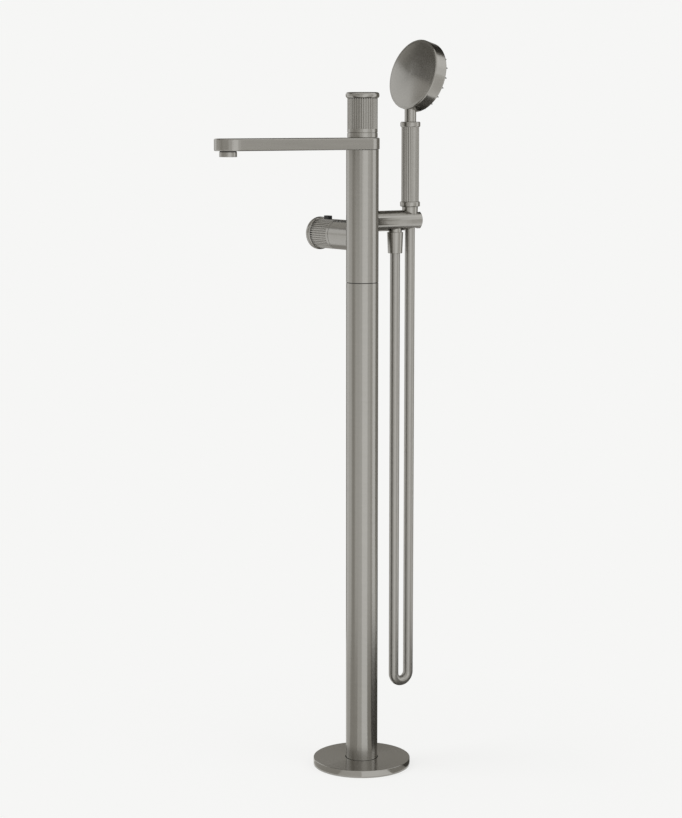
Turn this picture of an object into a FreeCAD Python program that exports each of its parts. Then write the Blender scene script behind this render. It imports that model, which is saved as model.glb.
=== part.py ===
import FreeCAD, Part
import math
import os
import re
import Sketcher

# Freestanding bath mixer.
# The origin is on the floor under the middle of the column. +Z is up, +X runs along the spout,
# -X along the handset holder and -Y along the thermostat knob. Lengths are in millimetres.

SIZES = {
    # floor plate, floor flange and what stands on it
    "plate_diameter": 153,
    "plate_height": 11.5,
    "plate_wall": 2.5,
    "plate_chamfer": 1,
    "seal_thickness": 1,
    "seal_setback": 0.6,
    "flange_diameter": 132,
    "flange_thickness": 6,
    "bolt_circle": 100,
    "bolt_hole": 9,
    "bolt_count": 4,
    "spigot_height": 46,
    "spigot_wall": 1.6,
    "grub_diameter": 5,
    "grub_length": 4,
    "grub_height": 38,
    "grub_first_angle": 205,
    "grub_spread": 60,
    "grub_count": 2,
    # water inlets
    "inlet_clearance": 0.2,
    "inlet_lift": 1,
    "coupler_wall": 1.75,
    "coupler_length": 30,
    "inlet_bore": 15,
    "inlet_thread_length": 14,
    "pipe_diameter": 12,
    "pipe_wall": 1,
    "pipe_socket": 12,
    # column
    "column_diameter": 50,
    "column_wall": 2,
    "joint_height": 767.7,
    "joint_gap": 1,
    "joint_recess": 0.7,
    "joint_overlap": 27,
    # mixer body
    "passage_diameter": 8,
    "neck_diameter": 36,
    "spout_port": 7,
    "diverter_port": 6,
    "diverter_port_offset": 10,
    # thermostat, along -Y
    "thermostat_rise": 70.9,
    "branch_diameter": 40,
    "branch_length": 52,
    "chamber_diameter": 34,
    "chamber_depth": 16.5,
    "chamber_wall": 2,
    "thermostat_reach": 61.6,
    "thermostat_grip": 44,
    "nose_diameter": 18,
    "nose_length": 14,
    # flow and diverter cartridge, along +Z
    "cartridge_rise": 79,
    "neck_wall": 3.4,
    "flow_grip": 46.4,
    "gland_diameter": 16,
    "gland_length": 1.5,
    "nut_thread_length": 9,
    "nut_head_length": 5.5,
    "nut_flats": 27,
    "spindle_diameter": 9,
    "spindle_bore_depth": 20,
    "o_ring_section": 1.6,
    "o_ring_groove": 1.8,
    # knobs and their rim caps
    "knob_diameter": 46.4,
    "knob_ring": 5.3,
    "knob_wall": 4.6,
    "knob_edge": 0.5,
    "flute_count": 40,
    "flute_width": 1.5,
    "flute_floor": 0.7,
    "flute_depth": 0.9,
    "web_thickness": 4,
    "hub_diameter": 15,
    "hub_start": 7,
    "cap_diameter": 51.6,
    "cap_height": 9.1,
    "cap_rounding": 3.6,
    "cap_seat": 6,
    "cap_spigot": 3,
    "screw_diameter": 4,
    "screw_head_diameter": 7.5,
    "screw_head_height": 2.2,
    "screw_length": 12,
    # safety button and temperature stop
    "button_place": 31.8,
    "button_length": 12,
    "button_width": 6.5,
    "button_corner": 1.5,
    "button_edge": 0.6,
    "button_proud": 4.8,
    "button_foot_height": 1.8,
    "button_foot_margin": 1.4,
    "spring_diameter": 5.2,
    "spring_wire": 0.7,
    "stop_ring_diameter": 27,
    "stop_ring_bore": 18,
    "stop_ring_length": 12,
    # spout and aerator
    "spout_rise": 31,
    "spout_thickness": 18,
    "spout_width": 52.6,
    "spout_length": 234.5,
    "spout_edge": 1.2,
    "spout_wall": 3,
    "spout_side_wall": 4,
    "channel_start": 10,
    "aerator_offset": 241,
    "aerator_diameter": 26.2,
    "aerator_drop": 8.8,
    "aerator_groove": 1.6,
    "aerator_groove_depth": 1.6,
    "aerator_thread": 21.8,
    "aerator_thread_length": 5,
    "aerator_bore": 19,
    "aerator_recess": 1.4,
    "aerator_insert_height": 5,
    "aerator_edge": 0.6,
    "slide_ring_diameter": 44,
    "slide_ring_thickness": 1,
    "collar_diameter": 46.5,
    "collar_height": 8,
    "collar_edge": 0.4,
    # handset holder arm
    "arm_diameter": 31.5,
    "arm_rise": 22.4,
    "arm_nose": 14,
    "arm_edge": 1,
    "arm_stud": 18,
    "arm_bore": 9,
    "holder_offset": 91,
    "slot_clearance": 1.5,
    "strand_spacing": 28.5,
    "nipple_bore": 10,
    "nipple_socket": 9,
    # hose and its ends
    "hose_diameter": 15.5,
    "hose_bottom": 123.7,
    "nut_large": 25,
    "nut_small": 22.3,
    "nut_length": 32.8,
    "nut_wall": 0.85,
    "nut_edge": 0.6,
    "nut_shoulder": 15,
    "outlet_gap": 2.05,
    "handset_gap": 5.25,
    "ferrule_collar": 3.5,
    "ferrule_bore": 8,
    "washer_thickness": 2.5,
    # handset
    "neck_tube": 18,
    "neck_bore": 10,
    "neck_entry": 5,
    "ring_diameter": 31,
    "ring_length": 8,
    "ring_edge": 0.9,
    "grip_diameter": 27.5,
    "grip_wall": 2.25,
    "grip_length": 115,
    "grip_flute_count": 32,
    "grip_flute_width": 1.7,
    "grip_flute_floor": 0.9,
    "grip_flute_depth": 0.4,
    "head_diameter": 110,
    "head_thickness": 22,
    "head_tilt": 15,
    "head_turn": 2.7,
    "head_rise": 73.25,
    "head_back": 3.7,
    "head_wall": 3,
    "head_dome": 4,
    "head_edge": 0.8,
    "head_ledge": 4,
    "spray_plate_thickness": 3,
    "mat_thickness": 1.5,
    "gasket_thickness": 1,
    "nozzle_rings": 3,
    "nozzles_per_ring": 8,
    "nozzle_margin": 6.5,
    "nozzle_ring_step": 15,
    "nozzle_diameter": 2.6,
    "nozzle_proud": 2.5,
    "nozzle_taper": 5,
    # clearances
    "fixed_fit": 0.1,
    "running_fit": 0.05,
    "cone_fit": 0.15,
    "shadow_gap": 0.6,
    "slide_gap": 0.3,
}

# Places and fits worked out from the sizes, each from what carries or holds the piece.
PLACES = {
    "thermostat_height": "joint_height + thermostat_rise",
    "arm_height": "thermostat_height + arm_rise",
    "cartridge_floor": "arm_height + cartridge_rise",
    "spout_height": "cartridge_floor + spout_rise",
    "outlet_nut_height": "arm_height - arm_diameter / 2 - outlet_gap - nut_length",
    "handset_height": "arm_height + arm_diameter / 2 + handset_gap",
    "head_height": "handset_height + 2 * ring_length + grip_length + head_rise",
    "spigot_bore": "column_diameter - 2 * (column_wall + fixed_fit + spigot_wall)",
    "coupler_diameter": "inlet_bore + 2 * coupler_wall",
    "inlet_spacing": "spigot_bore - 2 * inlet_clearance - coupler_diameter",
    "cartridge_bore": "neck_diameter - 2 * neck_wall",
    "arm_reach": "holder_offset + arm_nose",
    "arm_stud_depth": "(column_diameter - chamber_diameter) / 2 - chamber_wall",
    "outlet_offset": "holder_offset - strand_spacing",
    "slot_width": "hose_diameter + 2 * slot_clearance",
    "nipple_diameter": "nut_small - 2 * (nut_wall + fixed_fit)",
    "grip_bore": "grip_diameter - 2 * grip_wall",
    "dome_radius": "((head_diameter / 2 - head_edge) ^ 2 + head_dome ^ 2) / (2 * head_dome)",
}

doc = FreeCAD.newDocument("bath_mixer")
sheet = doc.addObject("Spreadsheet::Sheet", "sizes")
cells = {name: str(value) for name, value in SIZES.items()}
cells.update({name: f"={formula}" for name, formula in PLACES.items()})
for row, (name, content) in enumerate(cells.items(), start=1):
    sheet.set(f"A{row}", name)
    sheet.setAlias(f"B{row}", name)
for row, content in enumerate(cells.values(), start=1):
    sheet.set(f"B{row}", content)
doc.recompute()

# Radii and levels used in many pieces. Each is a formula that the pieces are bound to.
column_radius = "(column_diameter / 2)"
column_bore = "(column_diameter / 2 - column_wall)"
sleeve_radius = f"({column_bore} - fixed_fit)"
coupler_top = "(inlet_lift + coupler_length)"
body_bottom = "(joint_height + joint_gap / 2)"
core_bottom = f"({body_bottom} + joint_overlap)"
body_top = "(spout_height - slide_gap)"
neck_radius = "(neck_diameter / 2)"
spout_top = "(spout_height + spout_thickness)"
collar_bottom = f"({spout_top} + slide_gap)"
collar_top = f"({spout_top} + collar_height - shadow_gap)"
knob_base = f"({collar_top} + shadow_gap)"
knob_radius = "(knob_diameter / 2)"
cavity_radius = "(knob_diameter / 2 - knob_wall)"
branch_radius = "(branch_diameter / 2)"
chamber_radius = "(chamber_diameter / 2)"
spindle_radius = "(spindle_diameter / 2)"
spout_radius = "(spout_width / 2)"
nut_bore_radius = "(nipple_diameter / 2 + fixed_fit)"
hose_radius = "(hose_diameter / 2)"
ferrule_radius = f"({hose_radius} + fixed_fit)"
nipple_gap = "(nut_shoulder + ferrule_collar + washer_thickness)"
handset_nut_height = "(handset_height - nut_length)"
grip_bottom = "(handset_height + ring_length)"
grip_top = f"({grip_bottom} + grip_length)"
head_inner = "(head_diameter / 2 - head_wall)"
mat_back = "(head_thickness - spray_plate_thickness - mat_thickness)"

UPRIGHT = FreeCAD.Rotation()
TO_MINUS_X = FreeCAD.Rotation(FreeCAD.Vector(0, 1, 0), -90)
TO_MINUS_Y = FreeCAD.Rotation(FreeCAD.Vector(1, 0, 0), 90)
CENTRE = ("0", "0", "0")

pieces = []


def bound(formula):
    """The formula with every size and place pointed at its cell in the sheet."""
    return re.sub(r"[A-Za-z_]\w*", lambda word: f"sizes.{word[0]}" if word[0] in cells else word[0], formula)


def amount(formula):
    """The formula's value now."""
    return float(sheet.evalExpression(bound(formula)))


def place(item, base=CENTRE, turn=UPRIGHT):
    """Turn an object and bind its base point to the sheet."""
    item.Placement = FreeCAD.Placement(FreeCAD.Vector(*[amount(part) for part in base]), turn)
    for axis, formula in zip("xyz", base):
        item.setExpression(f"Placement.Base.{axis}", bound(formula))


def keep(item, label):
    """Name an object and put it among the finished pieces."""
    item.Label = label
    pieces.append(item)
    return item


# sketches

def arc_between(start, end, radius):
    """The short arc of this radius from start to end, bulging right of the way for a positive radius."""
    chord = end - start
    middle = (start + end) * 0.5
    rise = math.sqrt(max(radius * radius - chord.Length ** 2 / 4, 0))
    side = FreeCAD.Vector(-chord.y, chord.x, 0).normalize()
    centre = middle + side * rise * math.copysign(1, radius)
    first, last = (start, end) if radius > 0 else (end, start)
    angles = [math.atan2(point.y - centre.y, point.x - centre.x) for point in (first, last)]
    circle = Part.Circle(centre, FreeCAD.Vector(0, 0, 1), abs(radius))
    return Part.ArcOfCircle(circle, angles[0], angles[1])


def pin(sketch, geometry, point, across, up):
    """Bind one point of a sketch to its two distances from the origin."""
    for kind, formula, axis in (("DistanceX", across, -2), ("DistanceY", up, -1)):
        if formula == "0":
            sketch.addConstraint(Sketcher.Constraint("PointOnObject", geometry, point, axis))
            continue
        index = sketch.addConstraint(Sketcher.Constraint(kind, -1, 1, geometry, point, amount(formula)))
        sketch.setExpression(f"Constraints[{index}]", bound(formula))


def draw(sketch, outline):
    """Draw a closed outline of (across, up) corners; a third entry bends the side that follows."""
    corners = [FreeCAD.Vector(amount(corner[0]), amount(corner[1]), 0) for corner in outline]
    starts = []
    for index, corner in enumerate(outline):
        end = corners[(index + 1) % len(corners)]
        bend = amount(corner[2]) if len(corner) > 2 else 0
        side = arc_between(corners[index], end, bend) if bend else Part.LineSegment(corners[index], end)
        sketch.addGeometry(side, False)
        starts.append(2 if bend < 0 else 1)
    for index, start in enumerate(starts):
        following = (index + 1) % len(starts)
        ends = (index, 3 - start, following, starts[following])
        sketch.addConstraint(Sketcher.Constraint("Coincident", *ends))
    for index, corner in enumerate(outline):
        pin(sketch, index, starts[index], corner[0], corner[1])
        if len(corner) > 2:
            radius = Sketcher.Constraint("Radius", index, abs(amount(corner[2])))
            sketch.setExpression(f"Constraints[{sketch.addConstraint(radius)}]", bound(corner[2].lstrip("-")))


def sketch_on(body, name, plane, lift="0"):
    """A new sketch on one of the body's own planes, lifted along the plane's normal."""
    sketch = body.newObject("Sketcher::SketchObject", name)
    support = [part for part in body.Origin.OriginFeatures if part.Role == plane][0]
    sketch.AttachmentSupport = [(support, "")]
    sketch.MapMode = "FlatFace"
    if lift != "0":
        sketch.setExpression("AttachmentOffset.Base.z", bound(lift))
    return sketch


def outline_on(body, name, outline, lift="0"):
    """A sketch of one outline, level, at the given height."""
    sketch = sketch_on(body, name, "XY_Plane", lift)
    draw(sketch, outline)
    return sketch


def circle_on(body, name, across, up, radius, lift="0"):
    """A sketch of one circle, level, at the given height."""
    sketch = sketch_on(body, name, "XY_Plane", lift)
    centre = FreeCAD.Vector(amount(across), amount(up), 0)
    sketch.addGeometry(Part.Circle(centre, FreeCAD.Vector(0, 0, 1), amount(radius)), False)
    pin(sketch, 0, 3, across, up)
    index = sketch.addConstraint(Sketcher.Constraint("Radius", 0, amount(radius)))
    sketch.setExpression(f"Constraints[{index}]", bound(radius))
    return sketch


# features

def turned_body(name, outline, base=CENTRE, turn=UPRIGHT):
    """A body turned about its own Z axis from a half outline of (radius, height) corners."""
    body = doc.addObject("PartDesign::Body", name)
    sketch = sketch_on(body, f"{name}_outline", "XZ_Plane")
    draw(sketch, outline)
    turning = body.newObject("PartDesign::Revolution", f"{name}_turning")
    turning.Profile = sketch
    turning.ReferenceAxis = (sketch, ["V_Axis"])
    turning.Angle = 360
    place(body, base, turn)
    return body


def turned(label, outline, base=CENTRE, turn=UPRIGHT):
    """A finished turned piece."""
    return keep(turned_body(label, outline, base, turn), label)


def ring(label, inner, outer, low, high, base=CENTRE, turn=UPRIGHT):
    """A finished plain ring."""
    return turned(label, [(inner, low), (outer, low), (outer, high), (inner, high)], base, turn)


def padded(body, name, sketch, length, taper="0"):
    """Raise a sketch by a length, drawn in by the taper's angle."""
    pad = body.newObject("PartDesign::Pad", name)
    pad.Profile = sketch
    pad.setExpression("Length", bound(length))
    if taper != "0":
        pad.setExpression("TaperAngle", bound(f"-{taper}"))
    return pad


def pocketed(body, name, sketch, length=None):
    """Cut a sketch upwards by a length, or right through both ways."""
    pocket = body.newObject("PartDesign::Pocket", name)
    pocket.Profile = sketch
    if length is None:
        pocket.Type = "ThroughAll"
        pocket.SideType = "Symmetric"
    else:
        pocket.Reversed = True
        pocket.setExpression("Length", bound(length))
    return pocket


def around(body, name, feature, sketch, count):
    """Repeat a feature round the body's axis."""
    doc.recompute()
    pattern = body.newObject("PartDesign::PolarPattern", name)
    pattern.Originals = [feature]
    pattern.Axis = (sketch, ["N_Axis"])
    pattern.Angle = 360
    pattern.setExpression("Occurrences", bound(count))
    body.Tip = pattern
    return pattern


def fluted(body, name, radius, width, floor, depth, low, length, count):
    """Cut straight grooves along a turned body, evenly round it."""
    outline = [
        (f"{radius} - {depth}", f"-{floor} / 2"),
        (f"{radius} + {depth}", f"-{width} + {floor} / 2"),
        (f"{radius} + {depth}", f"{width} - {floor} / 2"),
        (f"{radius} - {depth}", f"{floor} / 2"),
    ]
    sketch = outline_on(body, f"{name}_groove", outline, low)
    groove = pocketed(body, f"{name}_flute", sketch, length)
    around(body, f"{name}_flutes", groove, sketch, count)


def rounded(body, name, radius, heights):
    """Round the edges that lie level at the given heights."""
    doc.recompute()
    last = body.Tip
    wanted = [amount(height) for height in heights]
    edges = []
    for index, edge in enumerate(last.Shape.Edges, start=1):
        box = edge.BoundBox
        if any(abs(box.ZMin - level) < 0.01 and abs(box.ZMax - level) < 0.01 for level in wanted):
            edges.append(f"Edge{index}")
    fillet = body.newObject("PartDesign::Fillet", name)
    fillet.Base = (last, edges)
    fillet.setExpression("Radius", bound(radius))
    body.Tip = fillet
    return fillet


# solids for joining and cutting

def rod(name, radius, length, base=CENTRE, turn=UPRIGHT):
    """A plain cylinder."""
    item = doc.addObject("Part::Cylinder", name)
    item.setExpression("Radius", bound(radius))
    item.setExpression("Height", bound(length))
    place(item, base, turn)
    return item


def block(name, size, base):
    """A plain box with its low corner at base."""
    item = doc.addObject("Part::Box", name)
    for side, formula in zip(("Length", "Width", "Height"), size):
        item.setExpression(side, bound(formula))
    place(item, base)
    return item


def joined(name, items):
    """Several solids in one."""
    fuse = doc.addObject("Part::MultiFuse", name)
    fuse.Shapes = list(items)
    return fuse


def less(name, base, tools):
    """A solid with others cut away from it."""
    cut = doc.addObject("Part::Cut", name)
    cut.Base = base
    cut.Tool = tools[0] if len(tools) == 1 else joined(f"{name}_tools", tools)
    return cut


def ring_grooves(surface, heights):
    """Outline corners of the o-ring grooves in an outside surface."""
    floor = f"({surface} - o_ring_section - fixed_fit)"
    corners = []
    for height in heights:
        for radius, step in ((surface, "-"), (floor, "-"), (floor, "+"), (surface, "+")):
            corners.append((radius, f"{height} {step} o_ring_groove / 2"))
    return corners


def o_rings(label, surface, heights, base=CENTRE, turn=UPRIGHT):
    """Rubber rings sunk in the grooves of an outside surface, as one group of separate solids."""
    rings = []
    radius = f"{surface} - o_ring_section / 2 - running_fit"
    for index, height in enumerate(heights):
        item = doc.addObject("Part::Torus", f"{label}_{index}")
        item.setExpression("Radius1", bound(radius))
        item.setExpression("Radius2", bound("o_ring_section / 2"))
        place(item, ("0", "0", height))
        rings.append(item)
    group = joined(label, rings)
    place(group, base, turn)
    return keep(group, label)


# floor plate, flange, column and inlets

def grub_rods(name, radius, low, length):
    """Rods that lie radially in the column's foot, on the side away from the front."""
    rods = []
    for index in range(int(amount("grub_count"))):
        angle = f"(grub_first_angle + {index} * grub_spread)"
        turn = FreeCAD.Rotation(amount(angle), 90, 0)
        base = (f"({low}) * cos({angle})", f"({low}) * sin({angle})", "grub_height")
        rods.append(rod(f"{name}_{index}", radius, length, base, turn))
    return rods


def make_foot():
    """Floor flange, the spigot on it, floor plate, column seal and grub screws."""
    flange = turned_body("base_flange", [
        ("0", "0"),
        ("flange_diameter / 2", "0"),
        ("flange_diameter / 2", "flange_thickness"),
        ("0", "flange_thickness"),
    ])
    across = "bolt_circle / 2 * cos(45)"
    bolt = circle_on(flange, "bolt_hole_sketch", across, across, "bolt_hole / 2")
    hole = pocketed(flange, "bolt_hole_cut", bolt)
    around(flange, "bolt_holes", hole, bolt, "bolt_count")
    for side, name in (("", "hot"), ("-", "cold")):
        seat = circle_on(flange, f"{name}_seat", "0", f"{side}inlet_spacing / 2",
                         "coupler_diameter / 2 + fixed_fit")
        pocketed(flange, f"{name}_seat_cut", seat)
    keep(flange, "base_flange")

    inner = "(spigot_bore / 2)"
    grub_radius = "(grub_diameter / 2 + fixed_fit)"
    grub_start = f"{inner} - spigot_wall"
    spigot = turned_body("spigot_turning", [
        (inner, "flange_thickness"),
        (sleeve_radius, "flange_thickness"),
        (sleeve_radius, "spigot_height"),
        (inner, "spigot_height"),
    ])
    spigot_tools = grub_rods("spigot_grub_bore", grub_radius, grub_start, column_radius)
    keep(less("base_spigot", spigot, spigot_tools), "base_spigot")

    hole_radius = f"({column_radius} + seal_thickness)"
    turned("floor_plate", [
        (hole_radius, "plate_height - plate_wall"),
        ("plate_diameter / 2 - plate_wall", "plate_height - plate_wall"),
        ("plate_diameter / 2 - plate_wall", "0"),
        ("plate_diameter / 2", "0"),
        ("plate_diameter / 2", "plate_height - plate_chamfer"),
        ("plate_diameter / 2 - plate_chamfer", "plate_height"),
        (hole_radius, "plate_height"),
    ])
    ring("column_seal", f"{column_radius} + fixed_fit", f"{hole_radius} - fixed_fit",
         "plate_height - plate_wall", "plate_height - seal_setback")

    tube = turned_body("column_turning", [
        (column_bore, "flange_thickness"),
        (column_radius, "flange_thickness"),
        (column_radius, "joint_height - joint_gap / 2"),
        (column_bore, "joint_height - joint_gap / 2"),
    ])
    tube_tools = grub_rods("column_grub_bore", grub_radius, grub_start, column_radius)
    keep(less("column_tube", tube, tube_tools), "column_tube")
    screws = grub_rods("grub_screw", "grub_diameter / 2", f"({column_radius} - grub_length - running_fit)",
                       "grub_length")
    keep(joined("column_grub_screws", screws), "column_grub_screws")


def make_inlets():
    """Hot and cold couplers in the flange, and the pipes up to the body."""
    outer = "coupler_diameter / 2"
    socket = "(pipe_diameter / 2 + fixed_fit)"
    throat = "(pipe_diameter / 2 - pipe_wall)"
    for side, name in (("", "hot"), ("-", "cold")):
        base = ("0", f"{side}inlet_spacing / 2", "0")
        turned(f"{name}_coupler", [
            ("inlet_bore / 2", "inlet_lift"),
            (outer, "inlet_lift"),
            (outer, coupler_top),
            (socket, coupler_top),
            (socket, f"{coupler_top} - pipe_socket"),
            (throat, f"{coupler_top} - pipe_socket"),
            (throat, "inlet_lift + inlet_thread_length"),
            ("inlet_bore / 2", "inlet_lift + inlet_thread_length"),
        ], base)
        ring(f"{name}_pipe", throat, "pipe_diameter / 2", f"{coupler_top} - pipe_socket",
             f"{core_bottom} + pipe_socket", base)


def make_joint():
    """Sleeve and shadow ring between the column tube and the mixer body."""
    ring("joint_sleeve", "spigot_bore / 2", sleeve_radius,
         "joint_height - joint_overlap", f"{core_bottom} - joint_gap")
    ring("joint_ring", f"{sleeve_radius} + fixed_fit", f"{column_radius} - joint_recess",
         "joint_height - joint_gap / 2", body_bottom)


# mixer body

def make_body():
    """Body with its neck, thermostat branch, chambers and water ways."""
    seal_heights = ["spout_height + (spout_wall + o_ring_section) / 2", f"{spout_top} - spout_wall / 2"]
    turning = turned_body("body_turning", [
        ("0", core_bottom),
        (f"{sleeve_radius} + fixed_fit", core_bottom),
        (f"{sleeve_radius} + fixed_fit", body_bottom),
        (column_radius, body_bottom),
        (column_radius, body_top),
        (neck_radius, body_top),
        *ring_grooves(neck_radius, seal_heights),
        (neck_radius, collar_top),
        ("cartridge_bore / 2", collar_top),
        ("cartridge_bore / 2", "cartridge_floor"),
        ("0", "cartridge_floor"),
    ])
    branch = rod("branch", branch_radius, "branch_length", ("0", "0", "thermostat_height"), TO_MINUS_Y)
    passage = "passage_diameter / 2"
    tools = [
        rod("chamber", chamber_radius, "chamber_depth + branch_length + 1",
            ("0", "chamber_depth", "thermostat_height"), TO_MINUS_Y),
        rod("mixed_passage", passage, "cartridge_floor - thermostat_height + 1",
            ("0", "0", "thermostat_height")),
        rod("arm_socket", "arm_stud / 2 + fixed_fit", f"{column_radius}",
            (f"-{column_radius} + arm_stud_depth", "0", "arm_height"), TO_MINUS_X),
        rod("arm_passage", "diverter_port / 2", "cartridge_floor - arm_height + 1",
            ("-diverter_port_offset - diverter_port / 2", "0", "arm_height")),
        rod("arm_link", "diverter_port / 2", f"{column_radius} - arm_stud_depth",
            ("-diverter_port_offset - diverter_port / 2", "0", "arm_height"), TO_MINUS_X),
        rod("spout_port_x", "spout_port / 2", "neck_diameter + 2",
            (f"{neck_radius} + 1", "0", "spout_height + spout_thickness / 2"), TO_MINUS_X),
        rod("spout_port_y", "spout_port / 2", "neck_diameter + 2",
            ("0", f"{neck_radius} + 1", "spout_height + spout_thickness / 2"), TO_MINUS_Y),
    ]
    for side, name in (("", "hot"), ("-", "cold")):
        beside = f"{side}inlet_spacing / 2"
        tools.append(rod(f"{name}_socket", "pipe_diameter / 2 + fixed_fit", "pipe_socket",
                         ("0", beside, core_bottom)))
        tools.append(rod(f"{name}_passage", passage, f"thermostat_height - {core_bottom}",
                         ("0", beside, core_bottom)))
    keep(less("mixer_body", joined("body_with_branch", [turning, branch]), tools), "mixer_body")
    o_rings("spout_seals", neck_radius, seal_heights)


def make_sleeve():
    """Smooth sleeve over the thermostat branch, cut to sit on the column and pass the arm."""
    tube = turned_body("sleeve_turning", [
        (f"{branch_radius} + fixed_fit", "0"),
        (knob_radius, "0"),
        (knob_radius, "thermostat_reach - shadow_gap"),
        (f"{branch_radius} + fixed_fit", "thermostat_reach - shadow_gap"),
    ], ("0", "0", "thermostat_height"), TO_MINUS_Y)
    saddle = rod("sleeve_saddle", f"{column_radius} + fixed_fit", "3 * knob_diameter",
                 ("0", "0", "thermostat_height - 1.5 * knob_diameter"))
    relief = rod("arm_relief", "arm_diameter / 2 + fixed_fit", "arm_reach", ("0", "0", "arm_height"),
                 TO_MINUS_X)
    keep(less("thermostat_sleeve", tube, [saddle, relief]), "thermostat_sleeve")


# cartridges

def make_cartridge(name, bore_radius, body_start, body_end, base, turn):
    """A cartridge body with its nose, grooves, gland and spindle bore, its seals and its nut."""
    outer = f"({bore_radius} - fixed_fit)"
    gland_end = f"({body_end} + nut_thread_length + nut_head_length + gland_length)"
    bore_end = f"({body_end} - spindle_bore_depth)"
    bore = f"({spindle_radius} + running_fit)"
    step = f"({body_end} - {body_start}) / 3"
    seal_heights = [f"{body_start} + o_ring_groove + {index} * {step}" for index in range(3)]
    turned(f"{name}_cartridge", [
        ("0", f"{body_start} - nose_length"),
        ("nose_diameter / 2", f"{body_start} - nose_length"),
        ("nose_diameter / 2", body_start),
        (outer, body_start),
        *ring_grooves(outer, seal_heights),
        (outer, body_end),
        ("gland_diameter / 2", body_end),
        ("gland_diameter / 2", gland_end),
        (bore, gland_end),
        (bore, bore_end),
        ("0", bore_end),
    ], base, turn)
    o_rings(f"{name}_seals", outer, seal_heights, base, turn)
    make_nut(name, bore_radius, body_end, base, turn)
    return gland_end, bore_end


def make_nut(name, bore_radius, seat, base, turn):
    """The ring nut that holds a cartridge, with a hexagon head."""
    thread = rod(f"{name}_nut_thread", f"{bore_radius} - fixed_fit", "nut_thread_length", ("0", "0", seat))
    head = doc.addObject("Part::Prism", f"{name}_nut_head")
    head.Polygon = 6
    head.setExpression("Circumradius", bound("nut_flats / sqrt(3)"))
    head.setExpression("Height", bound("nut_head_length"))
    place(head, ("0", "0", f"{seat} + nut_thread_length"))
    opening = rod(f"{name}_nut_opening", "gland_diameter / 2 + fixed_fit",
                  "nut_thread_length + nut_head_length", ("0", "0", seat))
    nut = less(f"{name}_nut", joined(f"{name}_nut_blank", [thread, head]), [opening])
    place(nut, base, turn)
    keep(nut, f"{name}_nut")


def make_spindle(name, bore_end, hub_end, base, turn):
    """The spindle that turns in the cartridge and carries the knob, tapped for the knob screw."""
    hole = "(screw_diameter / 2 + running_fit)"
    turned(f"{name}_spindle", [
        ("0", f"{bore_end} + slide_gap"),
        (spindle_radius, f"{bore_end} + slide_gap"),
        (spindle_radius, hub_end),
        (hole, hub_end),
        (hole, f"{hub_end} - screw_length"),
        ("0", f"{hub_end} - screw_length"),
    ], base, turn)


# knobs

def make_knob(name, grip, gland_end, base, turn):
    """A fluted knob with its inner hub, its rim cap and its screw, along its own Z axis."""
    hub_low = f"max(hub_start; {gland_end} + slide_gap)"
    length = f"(knob_ring + {grip})"
    seat = f"({length} - cap_seat)"
    web = f"({seat} - web_thickness)"
    hole = "(screw_diameter / 2 + fixed_fit)"
    hub_bore = f"({spindle_radius} + fixed_fit)"
    knob = turned_body(f"{name}_knob_turning", [
        (cavity_radius, "0"),
        (f"{knob_radius} - knob_edge", "0"),
        (knob_radius, "knob_edge"),
        (knob_radius, length),
        (cavity_radius, length),
        (cavity_radius, seat),
        (hole, seat),
        (hole, web),
        (hub_bore, web),
        (hub_bore, hub_low),
        ("hub_diameter / 2", hub_low),
        ("hub_diameter / 2", web),
        (cavity_radius, web),
    ])
    fluted(knob, f"{name}_knob", knob_radius, "flute_width", "flute_floor", "flute_depth",
           "knob_ring", f"{grip} + 1", "flute_count")
    turned(f"{name}_cap", [
        ("0", f"{length} - cap_spigot"),
        (f"{cavity_radius} - fixed_fit", f"{length} - cap_spigot"),
        (f"{cavity_radius} - fixed_fit", length),
        ("cap_diameter / 2 - cap_rounding", length, "cap_rounding"),
        ("cap_diameter / 2", f"{length} + cap_rounding"),
        ("cap_diameter / 2", f"{length} + cap_height - cap_rounding", "cap_rounding"),
        ("cap_diameter / 2 - cap_rounding", f"{length} + cap_height"),
        ("0", f"{length} + cap_height"),
    ], base, turn)
    turned(f"{name}_screw", [
        ("0", f"{seat} - screw_length"),
        ("screw_diameter / 2", f"{seat} - screw_length"),
        ("screw_diameter / 2", seat),
        ("screw_head_diameter / 2", seat),
        ("screw_head_diameter / 2", f"{seat} + screw_head_height"),
        ("0", f"{seat} + screw_head_height"),
    ], base, turn)
    return knob, web


def make_flow_control():
    """Flow and diverter cartridge in the neck, and the knob on top."""
    base = ("0", "0", "0")
    body_start = "(cartridge_floor + nose_length + fixed_fit)"
    body_end = f"({collar_top} - nut_thread_length)"
    gland_end, bore_end = make_cartridge("flow", "(cartridge_bore / 2)", body_start, body_end, base, UPRIGHT)
    knob, web = make_knob("flow", "flow_grip", f"{gland_end} - {knob_base}", ("0", "0", knob_base), UPRIGHT)
    place(knob, ("0", "0", knob_base))
    keep(knob, "flow_knob")
    make_spindle("flow", bore_end, f"({knob_base} + {web})", base, UPRIGHT)


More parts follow.
